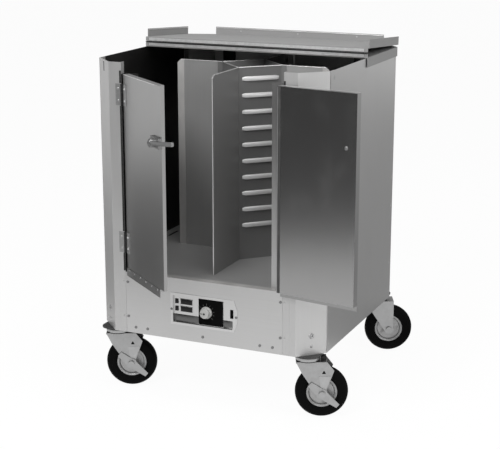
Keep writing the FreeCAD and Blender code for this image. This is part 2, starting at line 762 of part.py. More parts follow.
def knuckle_levels(middle, height, count, gap):
    """Heights of the knuckles of one hinge, from bottom to top."""
    pitch = height / count
    bottom = middle - height / 2
    return [(bottom + i * pitch + gap / 2, bottom + (i + 1) * pitch - gap / 2) for i in range(count)]


DOOR_KNUCKLES = 5


def hinge_leaf(name, middle, sign, face, first):
    """One leaf about a Z axis at the origin; face is the y it lies on, first its lowest knuckle."""
    low = middle - d.hinge_height / 2 + d.knuckle_gap / 2
    high = middle + d.hinge_height / 2 - d.knuckle_gap / 2
    clear = d.knuckle_radius + 2 * d.knuckle_gap
    layer = (face - d.hinge_sheet, face)
    plate_x = sorted((clear * sign, (clear + d.hinge_leaf) * sign), key=lambda size: size.value)
    web_x = sorted((ZERO, (clear + d.knuckle_gap) * sign), key=lambda size: size.value)
    pieces = [block(name + "_plate", plate_x, layer, (low, high))]
    levels = knuckle_levels(middle, d.hinge_height, DOOR_KNUCKLES, d.knuckle_gap)
    reach = face - d.hinge_sheet / 4
    for index in range(first, DOOR_KNUCKLES, 2):
        web_y = (face - d.hinge_sheet, min(face, reach, key=lambda size: size.value))
        pieces.append(block(f"{name}_web{index}", web_x, web_y, levels[index]))
        pieces.append(rod(f"{name}_knuckle{index}", "Z", ZERO, ZERO, d.knuckle_radius, *levels[index]))
    bore = rod(name + "_bore", "Z", ZERO, ZERO, d.hinge_pin_radius + d.fit, low - 1, high + 1)
    return cut(name, joined(name + "_solid", *pieces), bore)


def make_door_hinges():
    """Post leaves with their pins, two hinges for each door."""
    pieces = []
    for end, end_place in ENDS:
        for side, sign in (("left", -1), ("right", 1)):
            for tag, rise in (("upper", d.upper_hinge), ("lower", d.lower_hinge)):
                middle = skirt_z + rise
                name = f"post_leaf_{end}_{side}_{tag}"
                leaf = hinge_leaf(name, middle, sign, d.hinge_standoff, 0)
                span = (middle - d.hinge_height / 2, middle + d.hinge_height / 2)
                pin = rod(name + "_pin", "Z", ZERO, ZERO, d.hinge_pin_radius, *span)
                pair = group(name + "_pair", [leaf, pin])
                pair.Placement = end_place.multiply(placed(sign * hinge_x, hinge_y, 0))
                pieces.append(pair)
    node("door_hinge_post_leaves", group("door_hinge_post_leaves", pieces))


def door_pieces(name, sign, covered):
    """Pan skin with lip, liner, and hinge leaves about the hinge axis. sign points to the meeting edge."""

    def across(near, far):
        return sorted((sign * as_size(near), sign * as_size(far)), key=lambda size: size.value)

    wall = d.panel_sheet
    heights = (door_bottom, divider_top)
    pan = block(f"{name}_pan", across(d.door_edge, door_width), (door_face, door_back - wall), heights)
    hollow = block(
        f"{name}_pan_hollow",
        across(d.door_edge + wall, door_width - wall),
        (door_face + wall, door_back),
        (door_bottom + wall, divider_top - wall),
    )
    cover = (door_face - d.lip_sheet, door_face)
    lip_top = door_bottom + d.lip_lap
    lip_z = (door_bottom - d.lip_height, lip_top)
    pieces = [
        cut(f"{name}_pan_shell", pan, hollow),
        block(f"{name}_lip", across(d.door_edge, door_width), cover, lip_z),
    ]
    if covered:
        strip_z = (lip_top + d.meeting_gap, divider_top)
        fixed = across(door_width - d.strip_lap, door_width)
        reach = across(door_width - d.strip_relief, door_width + d.strip_reach)
        loose = (cover[0], door_face - d.strip_relief)
        pieces.append(block(f"{name}_strip_lap", fixed, cover, strip_z))
        pieces.append(block(f"{name}_strip_reach", reach, loose, strip_z))
    skin = joined(f"{name}_shell", *pieces)
    liner = block(f"{name}_inner", across(d.door_edge, door_width), (door_back - wall, door_back), heights)
    leaves = []
    for tag, rise in (("upper", d.upper_hinge), ("lower", d.lower_hinge)):
        leaves.append(hinge_leaf(f"{name}_leaf_{tag}", skirt_z + rise, sign, door_face, 1))
    return skin, liner, leaves


def door_place(end_place, sign, angle):
    return end_place.multiply(placed(-sign * hinge_x, hinge_y, 0, Z_AXIS, angle))


def make_front_doors():
    """The two front doors stand open; the left one carries the latch, the right one its keeper."""
    front = ENDS[0][1]
    for side, sign, angle in (("left", 1, -d.left_open_angle.value), ("right", -1, d.right_open_angle.value)):
        place = door_place(front, sign, angle)
        skin, liner, leaves = door_pieces(f"{side}_door", sign, side == "left")
        node(f"{side}_door_skin", group(f"{side}_door_skin", [skin]), place)
        node(f"{side}_door_liner", group(f"{side}_door_liner", [liner]), place)
        node(f"{side}_door_hinge_leaves", group(f"{side}_door_hinge_leaves", leaves), place)
        if side == "left":
            pivot = door_width - d.latch_inset
            base, lever = latch_pieces("latch", pivot, True)
            raise_lever(lever, pivot, d.front_lever_angle.value)
            node("latch_base", group("latch_base", [base]), place)
            node("latch_lever", group("latch_lever", [lever]), place)
        else:
            node("latch_keeper", group("latch_keeper", [keeper_piece("keeper")]), place)


def make_rear_doors():
    """The two rear doors, closed, each with its hinge leaves and its half of the latch; the lever is up."""
    rear = ENDS[1][1]
    latch_side = door_place(rear, 1, 0)
    keeper_side = door_place(rear, -1, 0)
    pivot = door_width - d.rear_latch_inset
    base, lever = latch_pieces("rear_latch", pivot, False)
    raise_lever(lever, pivot, d.rear_lever_angle.value)
    skin, liner, leaves = door_pieces("rear_a", 1, False)
    node("rear_door_right", group("rear_door_right", [skin, liner, base] + leaves), latch_side)
    node("rear_latch_lever", group("rear_latch_lever", [lever]), latch_side)
    skin, liner, leaves = door_pieces("rear_b", -1, False)
    hook = keeper_piece("rear_keeper")
    node("rear_door_left", group("rear_door_left", [skin, liner, hook] + leaves), keeper_side)


# Latch places, about a door's hinge axis
latch_z = skirt_z + d.latch_height
latch_base_face = door_face - d.latch_base_depth
latch_boss_face = latch_base_face - d.latch_boss_depth
lever_back = latch_boss_face - d.knuckle_gap
lever_face = lever_back - d.lever_thickness
lever_low = latch_z - d.lever_height / 2


def latch_pieces(name, latch_x, covered):
    """Latch base with its pivot pin, and the bowed lever; on a covered edge the base steps over the cover strip."""
    left = latch_x - d.latch_base_width / 2
    right = latch_x + d.latch_base_width / 2
    half_tall = d.latch_base_height / 2
    heights = (latch_z - half_tall, latch_z + half_tall)
    seat = door_face - d.lip_sheet if covered else door_face
    pieces = [block(name + "_block", (left, right), (latch_base_face, seat), heights)]
    if covered:
        foot_end = door_width - d.strip_lap - d.seam_gap
        pieces.append(block(name + "_foot", (left, foot_end), (latch_base_face, door_face), heights))
    boss = rod(name + "_boss", "Y", latch_x, latch_z, d.latch_boss_radius, latch_boss_face, latch_base_face)
    pin = rod(name + "_pin", "Y", latch_x, latch_z, d.latch_pin_radius, lever_face, latch_boss_face)
    fixed = joined(name + "_fixed", *pieces, boss, pin)

    tip = latch_x + d.lever_length
    near = latch_x + d.lever_length * 0.25
    far = latch_x + d.lever_length * 0.6
    arm = [
        (latch_x, lever_back),
        (near, lever_back - d.lever_bow),
        (far, lever_back - d.lever_bow),
        (tip, lever_back),
        (tip, lever_face),
        (far, lever_face - d.lever_bow),
        (near, lever_face - d.lever_bow),
        (latch_x, lever_face),
    ]
    bar = prism(name + "_arm", "XY_Plane", arm, lever_low, lever_low + d.lever_height)
    hub = rod(name + "_hub", "Y", latch_x, latch_z, d.lever_hub, lever_face, lever_back)
    bore_radius = d.latch_pin_radius + d.fit
    bore = rod(name + "_bore", "Y", latch_x, latch_z, bore_radius, lever_face - 1, lever_back + 1)
    return fixed, cut(name + "_turning", joined(name + "_solid", bar, hub), bore)


def raise_lever(lever, pivot, angle):
    """Turn a lever up about its pivot."""
    lever.Placement = placed(pivot, 0, latch_z, Y_AXIS, -angle).multiply(placed(-pivot, 0, -latch_z))


def keeper_piece(name):
    """Hook on the right door that the lever drops into."""
    middle = d.keeper_inset - door_width
    sides = (middle - d.keeper_width / 2, middle + d.keeper_width / 2)
    ledge_top = lever_low - d.keeper_gap
    ledge_low = ledge_top - d.keeper_sheet
    lip_back = lever_face - d.lever_bow - d.keeper_gap
    lip_face = lip_back - d.keeper_sheet
    foot_y = (door_face - d.keeper_sheet, door_face)
    foot = block(name + "_foot", sides, foot_y, (ledge_low - d.keeper_lip, ledge_top))
    ledge = block(name + "_ledge", sides, (lip_face, door_face), (ledge_low, ledge_top))
    lip = block(name + "_lip", sides, (lip_face, lip_back), (ledge_low, ledge_top + d.keeper_lip))
    return joined(name, foot, ledge, lip)


# Lid and fixed top places
lid_axis_z = wall_top + d.panel_sheet + d.lid_flange + d.lid_knuckle
skirt_out = d.skirt_gap + d.panel_sheet
top_half_width = half_width + skirt_out
top_half_depth = half_depth + skirt_out
top_chamfer = d.corner_chamfer + skirt_out * (2 - ROOT2)
leaf_face = d.lid_leaf_gap / 2 + d.lid_leaf_sheet


def half_top(name, near, far, low, high, flange, skirt_low, setback):
    """A half top: sheet with cut corners, skirts on three sides and a hinge flange; far is beyond near."""
    inset = top_half_width - top_chamfer
    corner = far - top_chamfer
    plan = [
        (-top_half_width, near),
        (top_half_width, near),
        (top_half_width, corner),
        (inset, far),
        (-inset, far),
        (-top_half_width, corner),
    ]
    wall = d.panel_sheet
    side_y = (near + setback, corner)
    pieces = [
        prism(name + "_sheet", "XY_Plane", plan, low, high),
        block(name + "_flange", (-top_half_width, top_half_width), (near, near + wall), (low, flange)),
        block(name + "_end", (-inset, inset), (far - wall, far), (skirt_low, high)),
        block(name + "_left", (-top_half_width, wall - top_half_width), side_y, (skirt_low, high)),
        block(name + "_right", (top_half_width - wall, top_half_width), side_y, (skirt_low, high)),
    ]
    return joined(name, *pieces)


def lid_leaf(name, first, sign):
    """One leaf of the lid hinge about an X axis at the origin; sign is the side its plate lies on."""
    end = half_width - d.lid_hinge_end
    count = int(d.lid_knuckles.value)
    pitch = 2 * end / count
    layer = sorted((sign * leaf_face, sign * d.lid_leaf_gap / 2), key=lambda size: size.value)
    plate_top = -d.lid_knuckle - d.knuckle_gap
    pieces = [block(name + "_plate", (-end, end), layer, (plate_top - d.lid_leaf, plate_top))]
    for index in range(first, count, 2):
        along = (index * pitch - end + d.knuckle_gap / 2, (index + 1) * pitch - end - d.knuckle_gap / 2)
        pieces.append(block(f"{name}_web{index}", along, layer, (plate_top - d.knuckle_gap, ZERO)))
        pieces.append(rod(f"{name}_knuckle{index}", "X", ZERO, ZERO, d.lid_knuckle, *along))
    bore = rod(name + "_bore", "X", ZERO, ZERO, d.lid_pin_radius + d.fit, -end - 1, end + 1)
    return cut(name, joined(name + "_solid", *pieces), bore)


def lid_fold_angle():
    """How far past flat the opened lid lies over until its far edge meets the fixed top."""
    lid_rise = (lid_axis_z - wall_top - d.lid_lift - d.panel_sheet).value
    top_drop = (lid_axis_z - wall_top - d.panel_sheet - d.lid_rest_gap).value
    length = (top_half_depth + d.hinge_line).value
    lean = math.atan2(lid_rise, length)
    return math.degrees(lean + math.asin(top_drop / math.hypot(length, lid_rise)))


def make_tops():
    sheet = half_top(
        "rear_top_sheet",
        d.hinge_line + leaf_face,
        top_half_depth,
        wall_top,
        wall_top + d.panel_sheet,
        lid_axis_z - d.lid_knuckle,
        wall_top + d.panel_sheet - d.top_skirt,
        ZERO,
    )
    header = block(
        "rear_header",
        (-panel_half, panel_half),
        (half_depth - d.panel_sheet, half_depth),
        (divider_top + d.meeting_gap, wall_top + d.panel_sheet),
    )
    node("rear_top", joined("rear_top", sheet, header))
    fixed_place = placed(0, d.hinge_line, lid_axis_z)
    leaf = lid_leaf("lid_fixed_leaf", 0, 1)
    end = half_width - d.lid_hinge_end
    pin = rod("lid_pin", "X", ZERO, ZERO, d.lid_pin_radius, -end, end)
    node("lid_hinge_fixed_leaf", group("lid_hinge_fixed_leaf", [leaf, pin]), fixed_place)

    folded_place = placed(0, d.hinge_line, lid_axis_z, X_AXIS, -180 - lid_fold_angle())
    under = wall_top + d.lid_lift - lid_axis_z
    lid = half_top(
        "front_lid_flat",
        leaf_face,
        top_half_depth + d.hinge_line,
        under,
        under + d.panel_sheet,
        -d.lid_knuckle,
        under - d.lid_skirt,
        d.lid_skirt_setback,
    )
    lid.Placement = placed(0, 0, 0, Z_AXIS, 180)
    node("front_lid", group("front_lid", [lid]), folded_place)
    moving = lid_leaf("lid_moving_leaf", 1, -1)
    node("lid_hinge_moving_leaf", group("lid_hinge_moving_leaf", [moving]), folded_place)


def make_warm_air():
    """Fan, heater and wiring in the base."""
    pan_top = skirt_z + d.post_sheet
    deck_low = deck_top - d.panel_sheet
    shroud_low = deck_low - d.shroud_height
    outer = rod("shroud_outer", "Z", ZERO, ZERO, d.shroud_radius, shroud_low, deck_low)
    inner_radius = d.shroud_radius - d.shroud_wall
    inner = rod("shroud_inner", "Z", ZERO, ZERO, inner_radius, shroud_low - 1, deck_low + 1)
    node("fan_shroud", cut("fan_shroud", outer, inner))

    foot_top = pan_top + d.caster_plate_sheet
    motor_top = pan_top + d.motor_height
    fan_low = motor_top + d.fan_lift
    foot = rod("motor_foot", "Z", ZERO, ZERO, d.motor_foot, pan_top, foot_top)
    can = rod("motor_can", "Z", ZERO, ZERO, d.motor_radius, pan_top, motor_top)
    shaft = rod("motor_shaft", "Z", ZERO, ZERO, d.motor_shaft, pan_top, fan_low + d.fan_height)
    node("fan_motor", joined("fan_motor", foot, can, shaft))

    hub = rod("fan_hub", "Z", ZERO, ZERO, d.fan_hub, fan_low, fan_low + d.fan_height)
    blades = [hub]
    count = int(d.fan_blades.value)
    half_chord = (d.fan_height - d.blade_sheet) / 2
    for index in range(count):
        name = f"fan_blade{index}"
        reach = (d.fan_hub / 2, d.fan_radius - d.blade_sheet)
        sheet_y = (-d.blade_sheet / 2, d.blade_sheet / 2)
        blade = block(name, reach, sheet_y, (-half_chord, half_chord))
        pitched = group(name + "_pitched", [blade])
        middle = fan_low + d.fan_height / 2
        turn = FreeCAD.Rotation(Z_AXIS, 360 * index / count)
        pitch = FreeCAD.Rotation(X_AXIS, d.blade_angle.value)
        pitched.Placement = FreeCAD.Placement(FreeCAD.Vector(0, 0, middle.value), turn.multiply(pitch))
        blades.append(pitched)
    bore = rod("fan_bore", "Z", ZERO, ZERO, d.motor_shaft + d.fit, fan_low - 1, fan_low + d.fan_height + 1)
    node("fan", cut("fan", joined("fan_solid", *blades), bore))

    heater_z = deck_low - d.heater_drop
    ring = doc.addObject("Part::Torus", "heater_ring")
    bind(ring, "Radius1", d.heater_radius)
    bind(ring, "Radius2", d.heater_tube)
    bind_base(ring, ZERO, ZERO, heater_z)
    half_tab = d.heater_tab / 2
    half_tall = d.heater_tube / 2
    tab_level = (heater_z - half_tall, heater_z + half_tall)
    tab_reach = (d.heater_radius, inner_radius - d.seam_gap)
    tabs = [ring]
    for index in range(3):
        tab = block(f"heater_tab{index}", tab_reach, (-half_tab, half_tab), tab_level)
        arm = group(f"heater_arm{index}", [tab])
        arm.Placement = placed(0, 0, 0, Z_AXIS, 120 * index)
        tabs.append(arm)
    node("heater_element", joined("heater_element", *tabs))

    half_wide = d.terminal_width / 2
    half_deep = d.terminal_depth / 2
    back = half_depth - d.terminal_inset
    box = block(
        "terminal_box",
        (d.terminal_offset - half_wide, d.terminal_offset + half_wide),
        (back - half_deep, back + half_deep),
        (pan_top, pan_top + d.terminal_height),
    )
    node("terminal_box", box)

    inlet_x = panel_half - d.inlet_inset
    inlet_z = skirt_z + d.inlet_height
    half = d.inlet_flange / 2
    flange_face = half_depth + d.inlet_sheet
    cup_face = flange_face + d.inlet_depth
    flange = block(
        "inlet_flange",
        (inlet_x - half, inlet_x + half),
        (half_depth, flange_face),
        (inlet_z - half, inlet_z + half),
    )
    cup = rod("inlet_cup", "Y", inlet_x, inlet_z, d.inlet_radius, flange_face, cup_face)
    room_radius = d.inlet_radius - d.inlet_wall
    room = rod("inlet_room", "Y", inlet_x, inlet_z, room_radius, flange_face, cup_face + 1)
    contacts = []
    for index, step in enumerate((-0.5, 0.5)):
        along = inlet_x + step * d.inlet_pin_pitch
        contact_end = cup_face - d.inlet_wall
        contacts.append(rod(f"inlet_pin{index}", "Y", along, inlet_z, d.inlet_pin, half_depth + 1, contact_end))
    shell = cut("inlet_shell", joined("inlet_solid", flange, cup), room)
    node("power_inlet", joined("power_inlet", shell, *contacts))


# Caster places, about a swivel axis at the origin, trailing towards +X
plate_low = d.caster_height - d.caster_plate_sheet
upper_race_low = plate_low - d.race_height
lower_race_top = upper_race_low - d.race_gap
crown_top = lower_race_top - d.lower_race_height
crown_low = crown_top - d.crown_sheet
wheel_radius = (crown_low - d.tyre_room) / 2
leg_inner = d.hub_width / 2 + d.leg_room
leg_outer = leg_inner + d.leg_sheet
brake_inner = leg_outer + d.brake_gap
brake_outer = brake_inner + d.brake_sheet
caster_x = half_width - d.caster_inset_side
caster_y = half_depth - d.caster_inset_front


def leg_outline(braked):
    """Side view of a fork leg, leaning back to the axle; a braked fork has a wider upper corner."""
    back = d.trail + d.hub_boss
    low = wheel_radius - d.hub_boss
    corner = [(d.trail + d.race_radius, crown_top - d.race_radius * 0.75)] if braked else []
    return [
        (-d.race_radius, crown_top),
        (back, crown_top),
        *corner,
        (back, wheel_radius + d.hub_boss),
        (back, wheel_radius - d.hub_boss / 2),
        (d.trail + d.hub_boss / 2, low),
        (d.trail - d.hub_boss / 2, low),
        (d.trail - d.hub_boss, wheel_radius - d.hub_boss / 3),
        (-d.race_radius / 2, crown_top - d.race_radius),
    ]


def make_fork(label, place, braked):
    crown_x = (-d.race_radius, d.trail + d.hub_boss)
    pieces = [
        block(label + "_crown", crown_x, (-leg_outer, leg_outer), (crown_low, crown_top)),
        rod(label + "_race", "Z", ZERO, ZERO, d.race_radius, crown_low, lower_race_top),
        prism(label + "_leg_far", "XZ_Plane", leg_outline(braked), leg_inner, leg_outer),
        prism(label + "_leg_near", "XZ_Plane", leg_outline(braked), -leg_outer, -leg_inner),
    ]
    kingpin_hole = d.kingpin_radius + d.fit
    axle_hole = d.axle_radius + d.fit
    bores = [
        rod(label + "_pin_bore", "Z", ZERO, ZERO, kingpin_hole, crown_low - 1, lower_race_top + 1),
        rod(label + "_axle_bore", "Y", d.trail, wheel_radius, axle_hole, -leg_outer - 1, leg_outer + 1),
    ]
    fork = cut(label + "_frame", joined(label + "_solid", *pieces), *bores)
    near = brake_outer if braked else leg_outer
    shank = rod(label + "_axle", "Y", d.trail, wheel_radius, d.axle_radius, -near, leg_outer)
    head_near = (-near - d.axle_head_height, -near)
    head_far = (leg_outer, leg_outer + d.axle_head_height)
    heads = [
        rod(label + "_head", "Y", d.trail, wheel_radius, d.axle_head, *head_near),
        rod(label + "_nut", "Y", d.trail, wheel_radius, d.axle_head, *head_far),
    ]
    axle = joined(label + "_bolt", shank, *heads)
    node(label, group(label, [fork, axle]), place)


def make_wheel(corner, place):
    """Tyre and hub turned about the axle."""
    half_tyre = d.tyre_width / 2
    rim = d.rim_diameter / 2
    shoulder = d.tyre_round
    tyre_points = [
        (rim, -half_tyre * 0.85),
        (wheel_radius - 2 * shoulder, -half_tyre),
        (wheel_radius - shoulder, -half_tyre),
        (wheel_radius - shoulder * 0.3, -half_tyre + shoulder * 0.3),
        (wheel_radius, -half_tyre + shoulder),
        (wheel_radius, half_tyre - shoulder),
        (wheel_radius - shoulder * 0.3, half_tyre - shoulder * 0.3),
        (wheel_radius - shoulder, half_tyre),
        (wheel_radius - 2 * shoulder, half_tyre),
        (rim, half_tyre * 0.85),
    ]
    half_hub = d.hub_width / 2
    seat = rim - d.fit
    inner_rim = rim - d.hub_rim
    bore = d.axle_radius + d.fit
    edge = half_tyre * 0.85
    right = [
        (seat, edge),
        (inner_rim, edge),
        (inner_rim - d.hub_rim / 2, d.hub_web),
        (d.hub_boss + d.hub_rim / 2, d.hub_web),
        (d.hub_boss, half_hub),
        (bore, half_hub),
    ]
    hub_points = flipped(right, 1, -1)[::-1] + right
    turn = FreeCAD.Rotation(X_AXIS, 90)
    axle_place = FreeCAD.Placement(FreeCAD.Vector(d.trail.value, 0, wheel_radius.value), turn)
    spot = place.multiply(axle_place)
    node(f"tyre_{corner}", turned(f"tyre_{corner}", tyre_points), spot)
    node(f"hub_{corner}", turned(f"hub_{corner}", hub_points), spot)


def make_brake(corner, place):
    """Foot lever on the axle, outside the near leg: long tip down and back, short heel forward and up."""
    label = f"brake_lever_{corner}"
    layer = (-brake_outer, -brake_inner)
    width = d.brake_boss
    arm = [
        (-d.brake_heel, -width / 2),
        (ZERO, -width * 0.9),
        (d.brake_tip, -width / 3),
        (d.brake_tip, width / 2),
        (ZERO, width * 0.9),
        (-d.brake_heel, width / 2),
    ]
    bar = group(label + "_bar", [prism(label + "_arm", "XZ_Plane", arm, *layer)])
    bar.Placement = placed(d.trail, 0, wheel_radius, Y_AXIS, d.brake_drop_angle.value)
    boss = rod(label + "_boss", "Y", d.trail, wheel_radius, d.brake_boss, *layer)
    bore_radius = d.axle_radius + d.fit
    bore = rod(label + "_bore", "Y", d.trail, wheel_radius, bore_radius, layer[0] - 1, layer[1] + 1)
    node(label, cut(label, joined(label + "_solid", bar, boss), bore), place)


def caster_plate(name, x, y):
    half = d.caster_plate / 2
    nut_top = crown_low - d.nut_gap
    nut_low = nut_top - d.kingpin_nut_height
    square = [(x - half, y - half), (x + half, y - half), (x + half, y + half), (x - half, y + half)]
    rounds = [(index, d.caster_plate_round) for index in range(4)]
    pieces = [
        prism(name + "_plate", "XY_Plane", square, plate_low, d.caster_height, rounds),
        rod(name + "_race", "Z", x, y, d.race_radius, upper_race_low, d.caster_height),
        rod(name + "_kingpin", "Z", x, y, d.kingpin_radius, nut_low, d.caster_height),
        rod(name + "_nut", "Z", x, y, d.kingpin_nut, nut_low, nut_top),
    ]
    return joined(name, *pieces)


def make_casters():
    plates = []
    for end, sign_y in (("front", -1), ("rear", 1)):
        for side, sign_x in (("left", -1), ("right", 1)):
            corner = f"{end}_{side}"
            x = sign_x * caster_x
            y = sign_y * caster_y
            place = placed(x, y, 0, Z_AXIS, d.rest_swivel_angle.value)
            plates.append(caster_plate(f"caster_plate_{corner}", x, y))
            make_fork(f"caster_fork_{corner}", place, end == "front")
            make_wheel(corner, place)
            if end == "front":
                make_brake(corner, place)
    node("caster_plates", group("caster_plates", plates))


def check_and_write():
    doc.recompute()
    for thing in doc.Objects:
        if "Invalid" in thing.State or "Error" in thing.State:
            raise RuntimeError(f"{thing.Name} failed: {thing.State}")
    for thing in nodes:
        if thing.Shape.isNull() or not thing.Shape.isValid():
            raise RuntimeError(f"{thing.Label} has no valid shape")
    os.makedirs("parts", exist_ok=True)
    for thing in nodes:
        thing.Shape.exportStep(f"parts/{thing.Label}.step")


make_posts()
make_walls()
make_deck()
make_door_stops()
make_duct()
make_dividers()
make_base_panels()
make_controls()
make_door_hinges()
make_front_doors()
make_rear_doors()
make_tops()
make_warm_air()
make_casters()
check_and_write()
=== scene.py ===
import math

import bmesh
import bpy
from bpy.props import FloatProperty, FloatVectorProperty, PointerProperty
from mathutils import Matrix, Vector


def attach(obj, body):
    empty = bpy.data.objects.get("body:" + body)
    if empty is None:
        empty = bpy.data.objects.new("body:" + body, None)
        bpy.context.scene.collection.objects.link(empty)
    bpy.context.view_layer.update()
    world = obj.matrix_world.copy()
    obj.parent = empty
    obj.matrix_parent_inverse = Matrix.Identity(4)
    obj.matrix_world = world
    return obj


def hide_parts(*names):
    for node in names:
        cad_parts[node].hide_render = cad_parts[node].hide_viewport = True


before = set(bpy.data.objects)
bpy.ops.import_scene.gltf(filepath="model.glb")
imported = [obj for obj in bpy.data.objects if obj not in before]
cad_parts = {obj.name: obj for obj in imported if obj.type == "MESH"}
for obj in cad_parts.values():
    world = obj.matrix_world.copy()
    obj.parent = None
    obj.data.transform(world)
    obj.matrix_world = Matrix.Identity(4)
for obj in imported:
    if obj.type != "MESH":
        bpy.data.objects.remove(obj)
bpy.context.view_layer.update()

bl_info = {
    "name": "Heated plate cart",
    "version": (1, 0, 0),
    "blender": (4, 5, 0),
    "location": "View3D > Sidebar > Plate cart",
    "description": "Gives the heated plate cart its finishes, fittings and studio",
    "category": "Object",
}

QUARTER = math.pi / 2
FRONT, BACK = (0, -1, 0), (0, 1, 0)
CORNERS = [(x, y) for x in (-1, 1) for y in (-1, 1)]

# Places on the cart, in metres: origin on the floor under the middle, front towards -Y
HALF_WIDTH = 0.356
HALF_DEPTH = 0.353
FRONT_FLAT = 0.288
CORNER_Y = HALF_DEPTH - 0.034
HINGE_X = 0.244
HINGE_Y = 0.358
HINGE_LEVELS = (0.897, 0.465)
HINGE_SCREW = 0.0135
DOOR_FACE = 0.0044
DOOR_LIP = DOOR_FACE - 0.002
DOOR_BACK = 0.0244
DOOR_BOTTOM = 0.381
DOOR_RISE = (DOOR_BOTTOM + 0.001, 0.67, 0.9535)
FRONT_LATCH_X = 0.240
REAR_LATCH_X = 0.180
LATCH_Z = 0.802
DUCT_HALF = 0.098
SLOT_LEVELS = [0.919 - 0.049 * step for step in range(10)]
CELL_TOP = 0.9548
HEM_RISE = (0.375, 0.66, 0.944)
CONTROL_Z = 0.2835
LABEL_ROWS = {"upper": 0.3055, "lower": CONTROL_Z}
STRIP_LEVELS = (0.2432, 0.2668)
TRAY_FLOOR = -0.348
DIAL_FACE = -0.3505
RIM_FACE = -0.3542
KNOB = Vector((0.012, -0.3511, CONTROL_Z))
KNOB_STEPS = 60
INLET = Vector((0.19, HALF_DEPTH + 0.003, 0.26))
CASTERS = {
    "front_left": (-0.306, -0.304),
    "front_right": (0.306, -0.304),
    "rear_left": (-0.306, 0.304),
    "rear_right": (0.306, 0.304),
}
CASTER_SWING = math.radians(24)
PLATE_UNDER = 0.186
PLATE_BOLT = 0.0272
TRAIL = 0.040
WHEEL_RADIUS = 0.076
TYRE_HALF = 0.018
LID_AXIS = Vector((0, 0.004, 1.003))
LID_FOLD = math.radians(-184.1305)
LID_SKIRT_INNER = 0.359
LID_HEM = -0.0357

# Each door: body, side its meeting edge points to, turn about the hinge, turn of its end
DOORS = (
    ("left_door", 1, math.radians(-38.9), 0.0),
    ("right_door", -1, math.radians(170.5), 0.0),
    ("rear_door_right", 1, 0.0, math.pi),
    ("rear_door_left", -1, 0.0, math.pi),
)

SHARE = {"min": 0, "max": 1, "subtype": "FACTOR"}
WHITE = (1, 1, 1, 1)


class FinishSettings(bpy.types.PropertyGroup):
    sheet_tone: FloatProperty(
        name="Sheet tone", description="Lightness of the outer steel sheet", default=0.56, **SHARE
    )
    door_tone: FloatProperty(
        name="Door tone", description="Lightness of the doors", default=0.36, **SHARE
    )
    inner_tone: FloatProperty(
        name="Inside tone", description="Lightness of the warm cells' sheet", default=0.5, **SHARE
    )
    sheet_roughness: FloatProperty(
        name="Sheet roughness", description="Roughness of brushed sheet", default=0.34, **SHARE
    )
    tyre_tone: FloatProperty(
        name="Tyre tone", description="Lightness of the tyres", default=0.0016, **SHARE
    )


class FittingSettings(bpy.types.PropertyGroup):
    screw_radius: FloatProperty(
        name="Screw radius", description="Hinge screw heads", default=0.0034, unit="LENGTH"
    )
    rivet_radius: FloatProperty(
        name="Rivet radius", description="Rivets on posts and lid", default=0.0028, unit="LENGTH"
    )
    louvre_reach: FloatProperty(
        name="Louvre reach", description="How far louvres stand out", default=0.0065, unit="LENGTH"
    )
    tyre_ridge: FloatProperty(
        name="Tyre ridge", description="Height of the ring on a tyre", default=0.0009, unit="LENGTH"
    )


class StudioSettings(bpy.types.PropertyGroup):
    floor_colour: FloatVectorProperty(
        name="Floor", description="Colour of the floor", default=(0.9, 0.9, 0.9),
        size=3, min=0, max=1, subtype="COLOR",
    )
    daylight: FloatProperty(
        name="Room light", description="Light from all round", default=0.42, min=0
    )
    key_power: FloatProperty(
        name="Main lamp", description="Power of the main lamp", default=95, unit="POWER"
    )
    fill_power: FloatProperty(
        name="Fill lamp", description="Power of the fill lamp", default=40, unit="POWER"
    )


def sum_of(operation, swapped=False):
    """A method that joins two shader values in a maths node."""

    def method(self, other):
        first, second = (other, self) if swapped else (self, other)
        return self.paint.maths(operation, first, second)

    return method


class Wire:
    """A shader value that can be used in sums."""

    def __init__(self, paint, socket):
        self.paint = paint
        self.socket = socket

    __add__, __radd__ = sum_of("ADD"), sum_of("ADD", True)
    __sub__, __rsub__ = sum_of("SUBTRACT"), sum_of("SUBTRACT", True)
    __mul__, __rmul__ = sum_of("MULTIPLY"), sum_of("MULTIPLY", True)
    __pow__ = sum_of("POWER")


